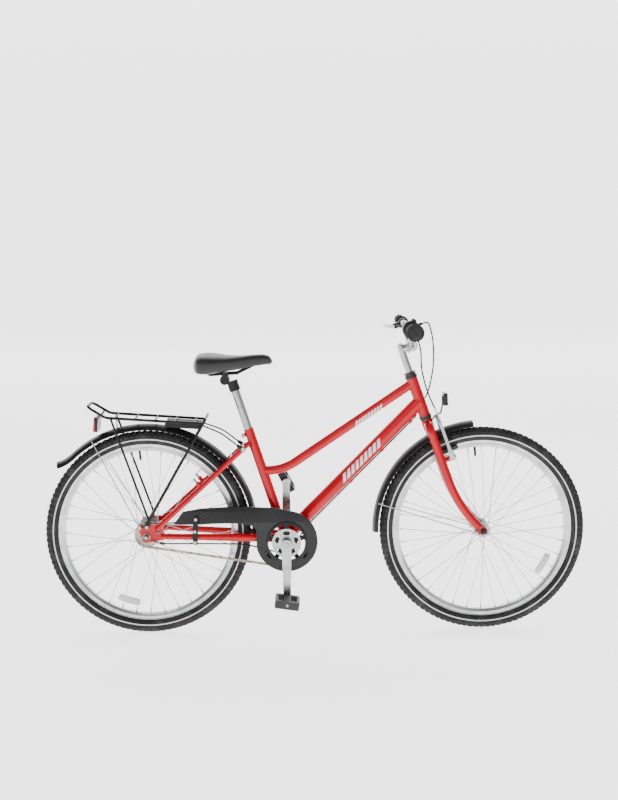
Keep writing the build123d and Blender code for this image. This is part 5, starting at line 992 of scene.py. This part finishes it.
    @staticmethod
    def reflector(name, colour, edge, hand):
        """A black housing, with prisms in the lens beyond an edge along the bicycle."""
        f = Finish(name, specular_ior_level=0.25, coat_weight=0.1, coat_roughness=0.06)
        x = f.axes()[0]
        lens = x.above(edge) if hand > 0 else x.below(edge)
        cell = f.node("ShaderNodeTexVoronoi", {"feature": "DISTANCE_TO_EDGE"}, {"Vector": f.place(), "Scale": 330.0})
        prism = f.mix(cell.smooth(0.0, 0.2), shade(colour, 0.5), colour)
        f.set("Base Color", f.mix(lens, (0.007, 0.007, 0.007), prism))
        f.set("Roughness", 0.34 - lens * 0.2)
        f.bump(cell * lens, 0.0003, 0.5)
        return f.material


class BICYCLE_OT_stage(bpy.types.Operator):
    """Pale floor, soft lights and the camera."""

    bl_idname = "bicycle.stage"
    bl_label = "Stage"

    def execute(self, context):
        s = context.scene.bicycle_stage
        f = Finish("floor_pale", roughness=0.8, specular_ior_level=0.1, emission_strength=s.glow)
        f.shader.inputs["Emission Color"].default_value = (1.0, 1.0, 1.0, 1.0)
        f.set("Base Color", f.mix(f.noise(0.8, 2.0).smooth(0.3, 0.8), tuple(s.floor), shade(tuple(s.floor), 0.985)))
        rise = np.linspace(0, pi / 2, 24)
        run = np.concatenate([[-40.0], 9.0 + 5.0 * np.sin(rise), [14.0]])
        height = np.concatenate([[0.0], 5.0 - 5.0 * np.cos(rise), [22.0]])
        sweep = np.stack([np.stack([np.full_like(run, x), run, height], -1) for x in (-26.0, 26.0)])
        points, faces = surface(sweep)
        mesh = bpy.data.meshes.new("floor")
        mesh.from_pydata(points.tolist(), [], [[int(i) for i in face][::-1] for face in faces])
        mesh.shade_smooth()
        floor = bpy.data.objects.new("floor", mesh)
        context.scene.collection.objects.link(floor)
        mesh.materials.append(f.material)
        world = bpy.data.worlds.new("studio")
        context.scene.world = world
        world.use_nodes = True
        world.node_tree.nodes["Background"].inputs["Color"].default_value = (1.0, 1.0, 1.0, 1.0)
        world.node_tree.nodes["Background"].inputs["Strength"].default_value = s.surround
        lamps = (("key", (-1.6, -3.6, 3.4), 2.6, s.key_power), ("fill", (2.6, -3.2, 2.2), 2.4, s.key_power * 0.55),
                 ("top", (0.2, 0.6, 3.8), 3.0, s.key_power * 0.6), ("back", (1.4, 3.4, 2.6), 2.4, s.key_power * 0.4))
        for name, spot, size, power in lamps:
            light = bpy.data.lights.new(name, "AREA")
            light.shape = "DISK"
            light.size = size
            light.energy = power
            lamp = bpy.data.objects.new(name, light)
            lamp.location = spot
            lamp.rotation_euler = (Vector((0, 0, 0.5)) - Vector(spot)).to_track_quat("-Z", "Y").to_euler()
            context.scene.collection.objects.link(lamp)
        self.camera(context, s.lens)
        return {"FINISHED"}

    @staticmethod
    def camera(context, lens):
        """A camera a little above saddle height on the drive side, pitched down and rolled slightly."""
        pitch, yaw, roll = 0.126622, 0.012778, 0.010184
        ahead = np.array([sin(yaw) * cos(pitch), cos(yaw) * cos(pitch), -sin(pitch)])
        right = np.array([cos(yaw), -sin(yaw), 0.0])
        up = np.cross(right, ahead)
        right_rolled = right * cos(roll) - up * sin(roll)
        up_rolled = up * cos(roll) + right * sin(roll)
        data = bpy.data.cameras.new("view")
        data.lens = lens
        data.sensor_width = 36.0
        data.clip_end = 200.0
        view = bpy.data.objects.new("view", data)
        turn = Matrix([list(row) for row in np.stack([right_rolled, up_rolled, -ahead], -1)]).to_4x4()
        view.matrix_world = Matrix.Translation((-0.0701, -4.2273, 1.2831)) @ turn
        context.scene.collection.objects.link(view)
        context.scene.camera = view


class BICYCLE_PT_build(bpy.types.Panel):
    """Lists the bicycle's pieces in the sidebar."""

    bl_idname = "BICYCLE_PT_build"
    bl_label = "City Bicycle"
    bl_space_type = "VIEW_3D"
    bl_region_type = "UI"
    bl_category = "Bicycle"

    def draw(self, context):
        for settings in ("bicycle_tyres", "bicycle_paint", "bicycle_saddle", "bicycle_stage"):
            group = getattr(context.scene, settings)
            box = self.layout.box()
            for key in group.bl_rna.properties.keys():
                if key not in ("rna_type", "name"):
                    box.prop(group, key)
        for operator in OPERATORS:
            self.layout.operator(operator.bl_idname)


SETTINGS = (("bicycle_tyres", TyreSettings), ("bicycle_paint", PaintSettings), ("bicycle_saddle", SaddleSettings),
            ("bicycle_stage", StageSettings))
OPERATORS = (BICYCLE_OT_cad_finishes, BICYCLE_OT_tyres, BICYCLE_OT_rims, BICYCLE_OT_spoke_reflectors,
             BICYCLE_OT_mudguards, BICYCLE_OT_saddle, BICYCLE_OT_chain, BICYCLE_OT_chain_guard, BICYCLE_OT_grips,
             BICYCLE_OT_pedal_trim, BICYCLE_OT_stage)


def register():
    """Registers the settings, the operators and the panel."""
    for key, group in SETTINGS:
        bpy.utils.register_class(group)
        setattr(bpy.types.Scene, key, bpy.props.PointerProperty(type=group))
    for operator in OPERATORS:
        bpy.utils.register_class(operator)
    bpy.utils.register_class(BICYCLE_PT_build)


def unregister():
    """Takes back what register added."""
    bpy.utils.unregister_class(BICYCLE_PT_build)
    for operator in reversed(OPERATORS):
        bpy.utils.unregister_class(operator)
    for key, group in reversed(SETTINGS):
        delattr(bpy.types.Scene, key)
        bpy.utils.unregister_class(group)


def main():
    """Registers the add-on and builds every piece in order."""
    register()
    for operator in OPERATORS:
        group, action = operator.bl_idname.split(".")
        getattr(getattr(bpy.ops, group), action)()


if __name__ == "__main__":
    main()
